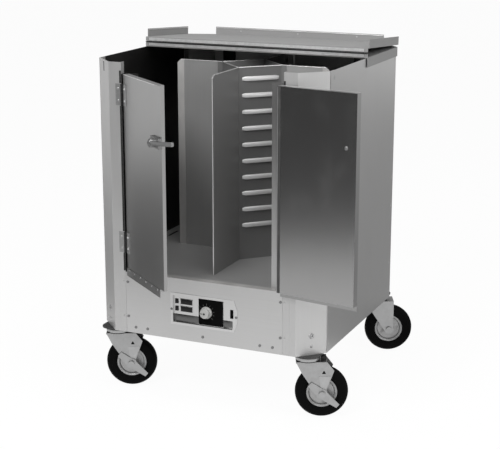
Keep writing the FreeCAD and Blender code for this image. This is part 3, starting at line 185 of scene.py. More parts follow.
class Paint:
    """The node tree of a material or a world in the making."""

    def __init__(self, name, kind="materials"):
        self.owner = getattr(bpy.data, kind).new(name)
        self.owner.use_nodes = True
        self.tree = self.owner.node_tree
        self.tree.nodes.clear()

    def node(self, kind, sockets=None, output=0, **settings):
        """Add a node, fill or join its inputs, and give one of its outputs."""
        made = self.tree.nodes.new(f"ShaderNode{kind}")
        for key, value in settings.items():
            setattr(made, key, value)
        for key, value in (sockets or {}).items():
            if isinstance(value, Wire):
                self.tree.links.new(value.socket, made.inputs[key])
            else:
                made.inputs[key].default_value = value
        return Wire(self, made.outputs[output]) if made.outputs else made

    def maths(self, operation, *values):
        return self.node("Math", dict(enumerate(values)), operation=operation)

    def noise(self, scale, detail=2.0):
        """Cloudy pattern from 0 to 1; scale is features per metre, on all axes or on each."""
        scale = scale if isinstance(scale, tuple) else (scale,) * 3
        place = self.node("TexCoord", output="Object")
        spot = self.node("Mapping", {"Vector": place, "Scale": scale})
        return self.node("TexNoise", {"Vector": spot, "Scale": 1.0, "Detail": detail})

    def band(self, value, low, high):
        """0 below low, 1 above high, smooth between."""
        sockets = {"Value": value, "From Min": low, "From Max": high}
        return self.node("MapRange", sockets, interpolation_type="SMOOTHSTEP", clamp=True)

    def axis(self, letter, kind="Object"):
        place = self.node("TexCoord", output=kind)
        return self.node("SeparateXYZ", {0: place}, letter)

    def colours(self, share, first, second):
        return self.node("Mix", {0: share, 6: first, 7: second}, 2, data_type="RGBA")

    def bump(self, height, distance, strength, under=None):
        sockets = {"Height": height, "Distance": distance, "Strength": strength}
        if under is not None:
            sockets["Normal"] = under
        return self.node("Bump", sockets)

    def rays(self, *kinds):
        """1 for light of either of two kinds of ray."""
        paths = [self.node("LightPath", output=f"Is {kind} Ray") for kind in kinds]
        return self.maths("MAXIMUM", *paths)

    def glow(self, strength):
        return self.node("Emission", {"Color": WHITE, "Strength": strength})

    def surface(self, shader, end="OutputMaterial"):
        """Join a shader to the output; gives the finished material or world."""
        self.node(end, {0: shader})
        return self.owner

    def finish(self, colour, metal, rough, normal, shine=0.5):
        sockets = {
            "Base Color": colour, "Metallic": metal, "Roughness": rough, "Normal": normal,
            "Specular IOR Level": shine,
        }
        return self.surface(self.node("BsdfPrincipled", sockets))


def grey(tone, warm=0.0):
    tone = min(1.0, tone)
    return (tone * (1 + warm), tone, tone * (1 - warm), 1)


def brushed_sheet(
    name, tone, roughness, run="Z", inside=None, inner_tone=0.1, metal=1.0, inner_metal=None,
    grain=1.0,
):
    """Brushed steel sheet: fine scratches along one axis, soft waves, faint handling marks.
    inside marks the part of the sheet that has the inner tone and, where given, the inner metal
    share; on the side panels' inner faces and the door stops that tone is painted shade, on the
    wings' folded edges a painted highlight; grain is the strength of the scratches."""
    paint = Paint(name)
    scratches = paint.noise(tuple(5 if letter == run else 520 for letter in "XYZ"), 3)
    waves = paint.noise((2.3, 2.3, 1.6), 1)
    marks = paint.noise((16, 16, 9), 4)
    smears = paint.band(marks, 0.52, 0.75)
    share = 0.4 * grain * (scratches - 0.5) + 0.2 + 0.35 * waves + 0.25 * marks
    colour = paint.colours(share, grey(tone * 0.86, 0.004), grey(tone * 1.12, 0.003))
    rough = roughness + 0.12 * grain * (scratches - 0.5) + 0.03 * smears
    if inside:
        mask = inside(paint)
        # Handling marks over the inner tone, which is painted shade on the side panels and door
        # stops
        stain_and_shade = paint.colours(marks, grey(inner_tone * 0.7, 0.02), grey(inner_tone * 1.3, 0.015))
        colour = paint.colours(mask, colour, stain_and_shade)
        rough = rough + 0.14 * mask
        if inner_metal is not None:
            metal = metal + (inner_metal - metal) * mask
    sheet_bend = paint.bump(waves, 0.004, 0.15)
    normal = paint.bump(scratches, 0.00005, 0.3 * grain, sheet_bend)
    return paint.finish(colour, metal, rough, normal)


def looks(letter, sign=1):
    """A mask of the faces that look along an axis."""
    return lambda paint: paint.band(sign * paint.axis(letter, "Normal"), 0.4, 0.6)


def stop_shade(paint):
    """Painted shade: the whole left half, and on the right a shade that grows towards the top."""
    left = paint.band(0 - paint.axis("X"), -0.01, 0.01)
    upper = 0.72 * paint.band(paint.axis("Z"), 0.36, 0.9)
    return paint.maths("MAXIMUM", left, upper)


def wing_hem_highlight(paint):
    """The folded edges of the side wings, painted lighter as a highlight."""
    return paint.band(paint.maths("ABSOLUTE", paint.axis("X")), 0.2245, 0.2255)


def plated_steel(name, tone, roughness):
    """Zinc plated or rolled steel: mottled plating with tiny pits."""
    paint = Paint(name)
    mottle = paint.noise(60, 4)
    pits = paint.noise(700)
    share = paint.band(mottle, 0.2, 0.8)
    colour = paint.colours(share, grey(tone * 0.92), grey(tone * 1.06, -0.003))
    normal = paint.bump(pits, 0.00008, 0.5)
    return paint.finish(colour, 1.0, roughness + 0.1 * (mottle - 0.4), normal)


def hinge_steel(name, tone, barrel, reach, metal):
    """Hinge steel, its barrel painted near black as shade; barrel is the distance from the pin."""
    paint = Paint(name)
    outside = paint.band(barrel(paint), reach * 0.85, reach * 1.15)
    mottle = paint.noise(90, 3)
    share = outside * (0.8 + 0.4 * (mottle - 0.5))
    # Painted shade: near black within reach of the pin, where the knuckles' gaps are shaded
    colour = paint.colours(share, grey(0.03), grey(tone))
    normal = paint.bump(paint.noise(600), 0.00006, 0.4)
    return paint.finish(colour, metal, 0.5 - 0.1 * outside, normal)


def from_door_pin(paint):
    """Distance from the nearest door hinge's pin, for hinges at the corners of the doorways."""
    x = paint.maths("ABSOLUTE", paint.axis("X")) - HINGE_X
    y = paint.maths("ABSOLUTE", paint.axis("Y")) - HINGE_Y
    return (x * x + y * y) ** 0.5


def from_lid_pin(paint):
    """Distance from the lid hinge's pin."""
    y = paint.axis("Y") - LID_AXIS.y
    z = paint.axis("Z") - LID_AXIS.z
    return (y * y + z * z) ** 0.5


def polished_bar(name, tone):
    """Polished plated bar with fine hairlines."""
    paint = Paint(name)
    hairs = paint.noise((400, 400, 30), 3)
    clouds = paint.noise(40)
    colour = paint.colours(clouds, grey(tone * 0.86), grey(tone * 1.1))
    normal = paint.bump(hairs, 0.00003, 0.4)
    return paint.finish(colour, 1.0, 0.42 + 0.12 * hairs, normal)


def tyre_rubber(name, tone):
    """Black solid rubber: matt, finely grained, a little dust."""
    paint = Paint(name)
    grain = paint.noise(900, 3)
    dust = paint.band(paint.noise(26, 5), 0.5, 0.85)
    colour = paint.colours(0.3 * dust + 0.15 * grain, grey(tone), grey(tone * 4, 0.02))
    normal = paint.bump(grain, 0.0002, 0.5)
    return paint.finish(colour, 0.0, 0.62 + 0.24 * dust, normal, 0.06)


def moulded_plastic(name, colour, roughness, shine=0.4):
    """Moulded plastic with a fine spark-eroded grain."""
    paint = Paint(name)
    grain = paint.noise(1500)
    shade = paint.noise(50, 3)
    deep = (*(0.85 * part for part in colour), 1)
    pale = (*(min(1.0, 1.08 * part + 0.001) for part in colour), 1)
    rough = roughness + 0.16 * (shade - 0.5)
    normal = paint.bump(grain, 0.00005, 0.5)
    return paint.finish(paint.colours(shade, deep, pale), 0.0, rough, normal, shine)


def cast_wheel(name, tone):
    """Cast light metal wheel core, blasted and lightly oiled."""
    paint = Paint(name)
    cast = paint.noise(320, 4)
    stain_and_shade = paint.band(paint.noise(45, 4), 0.45, 0.8)
    colour = paint.colours(0.6 * stain_and_shade + 0.2 * cast, grey(tone), grey(tone * 0.62, 0.01))
    normal = paint.bump(cast, 0.0002, 0.5)
    return paint.finish(colour, 0.85, 0.42 + 0.2 * stain_and_shade, normal)


def enamelled(name, tone):
    """Stoved enamel on the motor and the wiring box, with slight orange peel."""
    paint = Paint(name)
    peel = paint.noise(260)
    clouds = paint.noise(22, 3)
    normal = paint.bump(peel, 0.00012, 0.4)
    colour = paint.colours(clouds, grey(tone * 0.85), grey(tone * 1.2))
    return paint.finish(colour, 0.0, 0.38 + 0.14 * clouds, normal)


def heat_tinted(name):
    """Heater tube: straw to blue oxide bands from use."""
    paint = Paint(name)
    bands = paint.noise(34, 3)
    straw, blue = (0.34, 0.27, 0.18, 1), (0.16, 0.17, 0.21, 1)
    colour = paint.colours(paint.band(bands, 0.4, 0.6), straw, blue)
    normal = paint.bump(paint.noise(500), 0.00005, 0.5)
    return paint.finish(colour, 1.0, 0.3 + 0.2 * bands, normal)


FINISHES = {}


def settings(name):
    return getattr(bpy.context.scene, f"plate_cart_{name}")


def make_finishes():
    look = settings("finish")
    rough = look.sheet_roughness
    sheet, door, inner = look.sheet_tone, look.door_tone, look.inner_tone
    side = sheet * 0.9
    FINISHES.update(
        post_sheet=brushed_sheet("post sheet", sheet, 0.5, metal=0.82),
        sheet_up=brushed_sheet("sheet brushed upright", sheet, rough),
        base_sheet=brushed_sheet(
            "base sheet", sheet, rough, "X", looks("Z"), inner * 0.7, inner_metal=0.3
        ),
        lid_sheet=brushed_sheet("lid sheet", sheet * 0.5, 0.62, "X", metal=0.2),
        # Side panels: inner faces darker than the outside as painted shade, darkest on the left
        side_left=brushed_sheet("side sheet left", side, rough, "Z", looks("X"), inner * 0.1),
        side_right=brushed_sheet("side sheet right", side, rough, "Z", looks("X", -1), inner * 0.4),
        door_skin=brushed_sheet("door sheet", door, rough * 0.95, grain=0.4),
        door_liner=brushed_sheet("door liner sheet", door, rough * 0.68, grain=0.3),
        cell_sheet=brushed_sheet("cell sheet", inner * 0.62, 0.46, metal=0.6),
        # Wings: the folded edges painted lighter than the sheet, a painted highlight
        wing_sheet=brushed_sheet(
            "wing sheet", inner * 0.8, 0.46, "Z", wing_hem_highlight, inner * 1.05, 0.6
        ),
        duct_sheet=brushed_sheet("duct sheet", inner * 0.46, 0.42, metal=0.6),
        deck_sheet=brushed_sheet("deck sheet", inner * 0.66, 0.5, "X", metal=0.6),
        rim=brushed_sheet("control rim", 0.64, 0.34, "X"),
        hinge=hinge_steel("door hinge steel", 0.44, from_door_pin, 0.0048, 0.7),
        lid_hinge=hinge_steel("lid hinge steel", 0.7, from_lid_pin, 0.0034, 0.45),
        screw=plated_steel("plated screws", 0.45, 0.4),
        dull_screw=plated_steel("dull screws", 0.27, 0.5),
        bright_screw=plated_steel("bright screws", 0.8, 0.45),
        # Caster plates painted near black as the shade under the cabinet's skirts
        shaded_plate=plated_steel("caster plates", 0.1, 0.55),
        bracket=plated_steel("brake brackets", 0.46, 0.42),
        zinc=plated_steel("zinc plated caster", 0.41, 0.4),
        latch=polished_bar("polished latch", 0.27),
        # Louvres painted lighter than the duct sheet they are pressed from: painted highlight
        louvre=brushed_sheet("louvre sheet", 0.52, 0.45, "X", metal=0.4),
        # Rolled edges painted lighter than the sheets they are folded from: painted highlight
        hem=brushed_sheet("hem edge", 0.8, 0.3, metal=0.8),
        # Door stops in painted shade: near black on the left, darker towards the top on the right
        stop_sheet=brushed_sheet(
            "stop sheet", inner * 0.95, 0.5, "Z", stop_shade, inner * 0.06, 0.7
        ),
        tyre=tyre_rubber("tyre rubber", look.tyre_tone),
        wheel=cast_wheel("cast wheel core", 0.4),
        black=moulded_plastic("black moulding", (0.002, 0.002, 0.0021), 0.6, 0.04),
        knob=moulded_plastic("pale knob", (0.4, 0.4, 0.39), 0.35),
        mark=moulded_plastic("pale marking", (0.14, 0.14, 0.135), 0.45),
        strip=brushed_sheet("tray strip", 0.14, 0.3, "X"),
        plate=brushed_sheet("bare label plate", 0.5, 0.34, "X"),
        dark_plate=moulded_plastic("dark label plate", (0.012, 0.012, 0.0125), 0.45, 0.2),
        enamel=enamelled("dark enamel", 0.06),
        mill=plated_steel("mill aluminium", 0.62, 0.4),
        heater=heat_tinted("heat tinted tube"),
        pad=tyre_rubber("brake rubber", 0.022),
        # Dark strip beside the doors' hinges: painted shade of the gap there
        seal=tyre_rubber("door seal rubber", 0.045),
    )


# Finishes of the CAD nodes, by the starts of their names
NODE_FINISHES = {
    "sheet_up": "rear_door_",
    "post_sheet": "post_",
    "base_sheet": "base_ bottom_pan",
    "lid_sheet": "rear_top front_lid",
    "side_left": "side_panel_left",
    "side_right": "side_panel_right",
    "door_skin": "left_door_skin right_door_skin",
    "door_liner": "left_door_liner right_door_liner",
    "cell_sheet": "middle_dividers",
    "wing_sheet": "side_wings",
    "stop_sheet": "door_stops",
    "duct_sheet": "air_duct_",
    "deck_sheet": "deck",
    "hinge": "left_door_hinge right_door_hinge door_hinge",
    "lid_hinge": "lid_hinge",
    "dull_screw": "panel_screws",
    "shaded_plate": "caster_plates",
    "rim": "control_panel",
    "zinc": "caster_ brake_lever_",
    "latch": "latch_ rear_latch_lever",
    "tyre": "tyre_",
    "wheel": "hub_",
    "black": "dial_plate switch_rocker power_switch thermostat power_inlet",
    "knob": "thermostat_knob",
    "enamel": "fan_motor terminal_box",
    "mill": "fan fan_shroud",
    "heater": "heater_element",
}


def node_finish(node):
    """The finish with the longest matching start of the node's name."""
    starts = [(start, key) for key, group in NODE_FINISHES.items() for start in group.split()]
    matches = [(len(start), key) for start, key in starts if node.startswith(start)]
    return FINISHES[max(matches)[1]]


def to_mesh(bm, name="template"):
    mesh = bpy.data.meshes.new(name)
    bm.to_mesh(mesh)
    bm.free()
    return mesh


def new_object(name, data):
    thing = bpy.data.objects.new(name, data)
    bpy.context.scene.collection.objects.link(thing)
    return thing


def add_piece(name, bm, finish, body="cabinet", smooth=True):
    """Close a mesh in the making and hang it on a body of the cart."""
    bmesh.ops.remove_doubles(bm, verts=bm.verts, dist=1e-6)
    bmesh.ops.recalc_face_normals(bm, faces=bm.faces)
    mesh = to_mesh(bm, name)
    for polygon in mesh.polygons:
        polygon.use_smooth = smooth
    if smooth:
        mesh.set_sharp_from_angle(angle=math.radians(35))
    mesh.materials.append(FINISHES[finish])
    thing = new_object(name, mesh)
    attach(thing, body)
    return thing


def at(x, y, z):
    return Matrix.Translation((x, y, z))


def spun(angle, axis="Z"):
    return Matrix.Rotation(angle, 4, axis)


# Turns a run along X into one along Z
UPRIGHT = spun(-QUARTER, "Y")


def facing(spot, direction):
    """Place whose Z axis points in a direction."""
    return at(*spot) @ Vector(direction).to_track_quat("Z", "Y").to_matrix().to_4x4()


def stamp(bm, shape, matrix):
    """Add a copy of a template at a place."""
    before = len(bm.verts)
    bm.from_mesh(shape)
    bm.verts.ensure_lookup_table()
    bmesh.ops.transform(bm, matrix=matrix, verts=bm.verts[before:])


def on_face(spots, direction, place=Matrix()):
    """Places for fasteners that all point in a direction."""
    return [place @ facing(spot, direction) for spot in spots]


def add_copies(name, shape, places, finish, body="cabinet"):
    """A piece made of one template at many places."""
    copies = bmesh.new()
    for place in places:
        stamp(copies, shape, place)
    add_piece(name, copies, finish, body)


def verts_in(made):
    return [item for item in made if isinstance(item, bmesh.types.BMVert)]


def edges_in(made):
    return [item for item in made if isinstance(item, bmesh.types.BMEdge)]


def raise_top(bm, thickness, depth):
    top = max(bm.faces, key=lambda face: face.calc_center_median().z)
    bmesh.ops.inset_individual(bm, faces=[top], thickness=thickness, depth=depth)


def round_off(bm, geom, width, segments, affect="EDGES"):
    return bmesh.ops.bevel(
        bm, geom=geom, offset=width, offset_type="OFFSET", segments=segments, profile=0.5,
        affect=affect, clamp_overlap=True, material=-1,
    )


def screw_shape(radius, rise, sunk=True, sides=16):
    """Low domed head on the XY plane, with a sunk drive."""
    head = bmesh.new()
    bmesh.ops.create_cone(
        head, cap_ends=True, segments=sides, radius1=radius, radius2=radius * 0.95, depth=rise * 0.5
    )
    head.transform(at(0, 0, rise * 0.25))
    steps = [(0.22, 0.3), (0.3, 0.2)] + [(0.05, -0.5)] * sunk
    for thickness, depth in steps:
        raise_top(head, radius * thickness, rise * depth)
    return to_mesh(head)


def hex_shape(radius, rise):
    """Hexagon bolt head with a chamfered top and a washer."""
    head = bmesh.new()
    washer = (20, radius * 1.35, radius * 1.3, rise * 0.25, rise * 0.125)
    for sides, low, high, depth, middle in (washer, (6, radius, radius, rise * 0.8, rise * 0.6)):
        made = bmesh.ops.create_cone(
            head, cap_ends=True, segments=sides, radius1=low, radius2=high, depth=depth
        )
        bmesh.ops.translate(head, verts=made["verts"], vec=(0, 0, middle))
    raise_top(head, radius * 0.18, rise * 0.1)
    return to_mesh(head)


def bevelled_block(bm, low, high, width, segments=2, matrix=Matrix()):
    """A block between two corners with rounded edges."""
    low, high = Vector(low), Vector(high)
    place = at(*(low + high) / 2) @ Matrix.Diagonal((*(high - low), 1))
    made = bmesh.ops.create_cube(bm, size=1, matrix=place)
    edges = list({edge for vert in made["verts"] for edge in vert.link_edges})
    rounded = round_off(bm, edges, width, segments)
    verts = {vert for face in rounded["faces"] for vert in face.verts}
    bmesh.ops.transform(bm, matrix=matrix, verts=list(verts))


def closed_loop(bm, verts):
    return [bm.edges.new(pair) for pair in zip(verts, verts[1:] + verts[:1])]


def turned_ring(bm, profile, matrix, steps):
    """A closed (radius, height) profile spun about the Z axis, then placed."""
    before = set(bm.verts)
    verts = [bm.verts.new((radius, 0, height)) for radius, height in profile]
    edges = closed_loop(bm, verts)
    bmesh.ops.spin(
        bm, geom=verts + edges, cent=(0, 0, 0), axis=(0, 0, 1), angle=math.tau, steps=steps,
        use_merge=True,
    )
    added = [vert for vert in bm.verts if vert not in before]
    bmesh.ops.transform(bm, matrix=matrix, verts=added)


def swept_bar(bm, section, frames):
    """A closed (y, z) section carried through frames and capped at both ends."""
    first = closed_loop(bm, [bm.verts.new(frames[0] @ Vector((0, y, z))) for y, z in section])
    last = first
    for before, after in zip(frames, frames[1:]):
        made = bmesh.ops.extrude_edge_only(bm, edges=last)["geom"]
        ring = verts_in(made)
        last = edges_in(made)
        bmesh.ops.transform(bm, matrix=after @ before.inverted(), verts=ring)
    for loop in (first, last):
        bmesh.ops.contextual_create(bm, geom=loop)


def straight_bar(bm, section, place, stops):
    """A section carried along a place's X axis."""
    swept_bar(bm, section, [place @ at(stop, 0, 0) for stop in stops])


def rounded_section(height, thickness, radius, steps):
    """Corner points of an upright rounded rectangle as (y, z)."""
    points = []
    for quarter, (sign_y, sign_z) in enumerate(((1, 1), (-1, 1), (-1, -1), (1, -1))):
        y, z = sign_y * (thickness / 2 - radius), sign_z * (height / 2 - radius)
        for step in range(steps):
            angle = QUARTER * (quarter + step / (steps - 1))
            points.append((y + radius * math.cos(angle), z + radius * math.sin(angle)))
    return points


def door_place(sign, turn, end_turn):
    """Where a door's hinge axis stands, turned with the door."""
    return spun(end_turn) @ at(-sign * HINGE_X, -HINGE_Y, 0) @ spun(turn)


def caster_place(corner):
    return at(*CASTERS[corner], 0) @ spun(CASTER_SWING)


def axle_place(corner):
    """Axle frame: Z along the axle towards the caster's near side."""
    return caster_place(corner) @ at(TRAIL, 0, WHEEL_RADIUS) @ spun(QUARTER, "X")


class CartOperator(bpy.types.Operator):
    bl_options = {"REGISTER", "UNDO"}


class PLATECART_OT_finishes(CartOperator):
    """Give every solid of the cart its finish"""

    bl_idname = "plate_cart.finishes"
    bl_label = "Finishes"

    def execute(self, context):
        make_finishes()
        for name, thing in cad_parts.items():
            thing.data.materials.clear()
            thing.data.materials.append(node_finish(name))
        return {"FINISHED"}


class PLATECART_OT_louvres(CartOperator):
    """Hooded louvres over the slots of the warm-air duct"""

    bl_idname = "plate_cart.louvres"
    bl_label = "Duct louvres"

    def execute(self, context):
        hood = self.hood_shape(settings("fitting").louvre_reach)
        for end, name in enumerate(("front", "rear")):
            faces = [
                spun(math.pi * end) @ at(sign * DUCT_HALF / 2, -DUCT_HALF / 2, 0)
                @ spun(math.radians(45 * sign)) for sign in (1, -1)
            ]
            places = [face @ at(0, 0, level) for face in faces for level in SLOT_LEVELS]
            add_copies(f"duct_louvres_{name}", hood, places, "louvre")
        return {"FINISHED"}

    def hood_shape(self, reach, length=0.116, taper=0.01):
        """A pressed hood over a slot's upper part, open below, running along X and facing -Y."""
        hood = bmesh.new()
        section = ((-0.0004, 0.0082), (-reach * 0.45, 0.0068), (-reach * 0.8, 0.0038), (-reach, 0),
                   (-reach, -0.004))
        verts = [hood.verts.new((-length / 2 + taper, y, z)) for y, z in section]
        edges = [hood.edges.new(pair) for pair in zip(verts, verts[1:])]
        run = bmesh.ops.extrude_edge_only(hood, edges=edges)["geom"]
        bmesh.ops.translate(hood, verts=verts_in(run), vec=(length - 2 * taper, 0, 0))
        for row, step in ((edges_in(run), taper), (edges, -taper)):
            ends = verts_in(bmesh.ops.extrude_edge_only(hood, edges=row)["geom"])
            bmesh.ops.translate(hood, verts=ends, vec=(step, 0, 0))
            bmesh.ops.scale(hood, verts=ends, vec=(1, 0.08, 0.7))
        bmesh.ops.recalc_face_normals(hood, faces=hood.faces)
        bmesh.ops.solidify(hood, geom=hood.faces, thickness=0.0007)
        return to_mesh(hood)


class PLATECART_OT_hem_edges(CartOperator):
    """Rolled edges of the dividers, the side wings and the duct"""

    bl_idname = "plate_cart.hem_edges"
    bl_label = "Hem edges"

    def execute(self, context):
        hems = bmesh.new()
        section = rounded_section(0.0045, 0.003, 0.0014, 4)
        for sign in (-1, 1):
            for foot in (at(0, sign * 0.2765, 0) @ spun(QUARTER * sign), at(sign * 0.2455, 0, 0)):
                straight_bar(hems, section, foot @ UPRIGHT, HEM_RISE)
        section = rounded_section(0.003, 0.0026, 0.0012, 4)
        for near, far in self.top_runs():
            run = far - near
            place = at(*near) @ spun(math.atan2(run.y, run.x))
            straight_bar(hems, section, place, (0, run.length / 2, run.length))
        add_piece("hem_edges", hems, "hem")
        return {"FINISHED"}

    def top_runs(self):
        """Ends of the level top edges: dividers, side wings and the four duct faces."""
        runs = []
        for sign in (-1, 1):
            stem, wing = (0, sign * DUCT_HALF), (sign * DUCT_HALF, 0)
            runs += [((0, sign * 0.2665), stem), ((sign * 0.2355, 0), wing)]
            runs += [(stem, (side * DUCT_HALF, 0)) for side in (-1, 1)]
        return [(Vector((*near, CELL_TOP)), Vector((*far, CELL_TOP))) for near, far in runs]


class PLATECART_OT_hinge_screws(CartOperator):
    """Screws in the door hinges' leaves"""

    bl_idname = "plate_cart.hinge_screws"
    bl_label = "Hinge screws"

    def execute(self, context):
        head = screw_shape(settings("fitting").screw_radius, 0.0016)
        levels = [middle + rise for middle in HINGE_LEVELS for rise in (-0.017, 0.017)]
        post_places = []
        for body, sign, turn, end_turn in DOORS:
            spots = [(-sign * HINGE_SCREW, 0.003, z) for z in levels]
            post_places += on_face(spots, FRONT, door_place(sign, 0, end_turn))
            spots = [(sign * HINGE_SCREW, DOOR_LIP, z) for z in levels]
            places = on_face(spots, FRONT, door_place(sign, turn, end_turn))
            add_copies(f"{body}_hinge_screws", head, places, "bright_screw", body)
        add_copies("post_hinge_screws", head, post_places, "screw")
        return {"FINISHED"}


class PLATECART_OT_door_trim(CartOperator):
    """Bolts through the doors, rivets along the lips, folded edges and dark strips of painted shade
    beside the hinges
    """

    bl_idname = "plate_cart.door_trim"
    bl_label = "Door trim"

    def execute(self, context):
        rivet = screw_shape(settings("fitting").rivet_radius, 0.0012, False)
        bolt = screw_shape(0.0056, 0.003, False)
        latch_bolts = [(0.215, DOOR_BACK, LATCH_Z + rise) for rise in (-0.009, 0.009)]
        keeper_bolt = [(-0.213, DOOR_BACK, 0.81)]
        for body, sign, turn, end_turn in DOORS:
            place = door_place(sign, turn, end_turn)
            lip = [sign * (0.018 + step * 0.0415) for step in range(6)]
            places = on_face([(x, DOOR_LIP, DOOR_BOTTOM + 0.003) for x in lip], FRONT, place)
            add_copies(f"{body}_trim", rivet, places, "screw", body)
            places = on_face(latch_bolts if sign > 0 else keeper_bolt, BACK, place)
            add_copies(f"{body}_bolts", bolt, places, "dull_screw", body)
            self.add_edges(body, sign, place)
        return {"FINISHED"}

    def add_edges(self, body, sign, place):
        """Fold along the top painted bright as a highlight, and on the inner face a fold and a dark
        strip of painted shade beside the hinges.
        """
        top, fold, seal = (bmesh.new() for _ in range(3))
        top_place = place @ at(0, DOOR_FACE + 0.0009, 0.9543)
        stops = [sign * x for x in (0.0015, 0.12, 0.2425)]
        straight_bar(top, rounded_section(0.0022, 0.0022, 0.0009, 4), top_place, stops)
        add_piece(f"{body}_top_edge", top, "hem", body)
        fold_place = place @ at(sign * 0.0023, DOOR_BACK, 0) @ UPRIGHT
        straight_bar(fold, rounded_section(0.0024, 0.0018, 0.0008, 4), fold_place, DOOR_RISE)
        add_piece(f"{body}_hinge_edge", fold, "zinc", body)
        # Dark strip on the inner face beside the hinges: painted shade of the gap at the hinge edge
        sides = sorted((sign * 0.0036, sign * 0.0116))
        low, high = zip(sides, (DOOR_BACK - 0.0002, DOOR_BACK + 0.0007), DOOR_RISE[::2])
        bevelled_block(seal, low, high, 0.0003, 2, place)
        add_piece(f"{body}_hinge_seal", seal, "seal", body)


class PLATECART_OT_latches(CartOperator):
    """Rounded latch levers with pivot caps, and the screws of their bases"""

    bl_idname = "plate_cart.latches"
    bl_label = "Latch levers"

    # Hub as (radius, height), and the arm's middle line as (x, y, share of the section)
    hub = ((0.0042, 0.012), (0.0112, 0.012), (0.012, 0.0128), (0.012, 0.0192), (0.0113, 0.0205),
           (0.01, 0.0212), (0.0042, 0.0212))
    arm = ((0.0, -0.0165, 1), (0.012, -0.0184, 1), (0.026, -0.0211, 1), (0.04, -0.0222, 1),
           (0.062, -0.0225, 1), (0.085, -0.0222, 1), (0.104, -0.0208, 1), (0.124, -0.0187, 1),
           (0.1436, -0.0167, 1), (0.1452, -0.0166, 0.95), (0.1459, -0.0165, 0.84))

    def execute(self, context):
        cap = screw_shape(0.0085, 0.0036, True, 24)
        corner = screw_shape(0.0032, 0.0014)
        levers = (("latch_lever", DOORS[0], FRONT_LATCH_X, 8),
                  ("rear_latch_lever", DOORS[2], REAR_LATCH_X, 90))
        section = rounded_section(0.0118, 0.008, 0.002, 4)
        for body, (door, sign, turn, end_turn), pivot, raised in levers:
            place = door_place(sign, turn, end_turn) @ at(pivot, 0, LATCH_Z)
            swing = place @ spun(math.radians(-raised), "Y")
            lever = bmesh.new()
            frames = [at(x, y, 0) @ Matrix.Diagonal((1, ease, ease, 1)) for x, y, ease in self.arm]
            swept_bar(lever, section, [swing @ frame_place for frame_place in frames])
            turned_ring(lever, self.hub, swing @ facing((0, 0, 0), FRONT), 40)
            stamp(lever, cap, swing @ facing((0, -0.0212, 0), FRONT))
            shown = add_piece(f"{body}_bar", lever, "latch", body)
            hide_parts(body)
            spots = [(0.0245 * x, -0.0046, 0.0095 * z) for x, z in CORNERS]
            places = on_face(spots, FRONT, place)
            add_copies(f"{door}_latch_screws", corner, places, "screw", door)
        return {"FINISHED"}


class PLATECART_OT_control_face(CartOperator):
    """Bare label plates, dial marks and tray screws of the control panel"""

    bl_idname = "plate_cart.control_face"
    bl_label = "Control face"

    def execute(self, context):
        labels = (
            ("frame", "plate", (-0.0732, -0.0328), 0.0093, 0.0008),
            ("window", "dark_plate", (-0.0716, -0.0344), 0.0077, 0.0012),
            ("lamp", "dark_plate", (-0.0892, -0.0792), 0.007, 0.002),
        )
        for row, middle in LABEL_ROWS.items():
            for name, finish, sides, half, rise in labels:
                levels = (middle - half, middle + half)
                self.add_slab(f"{row}_{name}", finish, sides, levels, rise)
        # Dark strips along the tray's lower part: painted shade
        self.add_slab("lower_strip", "strip", (-0.0945, -0.0146), STRIP_LEVELS, 0.0006)
        self.add_slab("switch_strip", "strip", (0.0636, 0.0925), STRIP_LEVELS, 0.0006)
        self.add_dial_marks()
        rim_places = on_face([(x, RIM_FACE, CONTROL_Z - 0.002) for x in (-0.0985, 0.1065)], FRONT)
        rim_head = screw_shape(0.004, 0.0016)
        add_copies("control_rim_screws", rim_head, rim_places, "dull_screw")
        spots = [(0.0245 + 0.033 * x, DIAL_FACE, CONTROL_Z + 0.033 * z) for x, z in CORNERS]
        head = screw_shape(0.0032, 0.0014)
        add_copies("dial_screws", head, on_face(spots, FRONT), "black")
        return {"FINISHED"}

    def add_slab(self, name, finish, sides, levels, rise):
        """A flat plate on the tray's floor."""
        slab = bmesh.new()
        low, high = zip(sides, (TRAY_FLOOR - rise, TRAY_FLOOR + 0.0002), levels)
        bevelled_block(slab, low, high, 0.0003)
        add_piece(name, slab, finish)

    def add_dial_marks(self):
        """Eleven ticks round the knob, every fifth one longer."""
        marks = bmesh.new()
        for step in range(11):
            angle = math.radians(225 - 27 * step)
            inner, outer = 0.0205, 0.0245 if step % 5 else 0.0265
            middle, half = (inner + outer) / 2, (outer - inner) / 2
            x, z = KNOB.x + middle * math.cos(angle), KNOB.z + middle * math.sin(angle)
            turn = at(x, DIAL_FACE, z) @ spun(-angle, "Y")
            low, high = (-half, -0.0003, -0.0004), (half, 0.0001, 0.0004)
            bevelled_block(marks, low, high, 0.0001, 1, turn)
        add_piece("dial_marks", marks, "mark")


class PLATECART_OT_knob(CartOperator):
    """Fluted thermostat knob with a pointer"""

    bl_idname = "plate_cart.knob"
    bl_label = "Thermostat knob"

    def execute(self, context):
        place = facing(KNOB, FRONT)
        body, pointer = bmesh.new(), bmesh.new()
        profile = ((0.00305, 0), (0.0175, 0), (0.0175, 0.0048), (0.0168, 0.0056), (0.0152, 0.0062),
                   (0.0146, 0.0158), (0.0136, 0.0174), (0.0118, 0.018), (0.00305, 0.018))
        turned_ring(body, profile, Matrix(), KNOB_STEPS)
        for vert in body.verts:
            step = round(math.atan2(vert.co.y, vert.co.x) / math.tau * KNOB_STEPS)
            if 0.0125 < math.hypot(vert.co.x, vert.co.y) < 0.0155 and step % 3 == 0:
                vert.co.x *= 0.955
                vert.co.y *= 0.955
        body.transform(place)
        knob = add_piece("fluted_knob", body, "knob", "thermostat_knob")
        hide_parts("thermostat_knob")
        low, high = (-0.0125, -0.0009, 0.0178), (-0.0045, 0.0009, 0.0184)
        bevelled_block(pointer, low, high, 0.0002, 1, place)
        add_piece("knob_pointer", pointer, "black", "thermostat_knob")
        return {"FINISHED"}


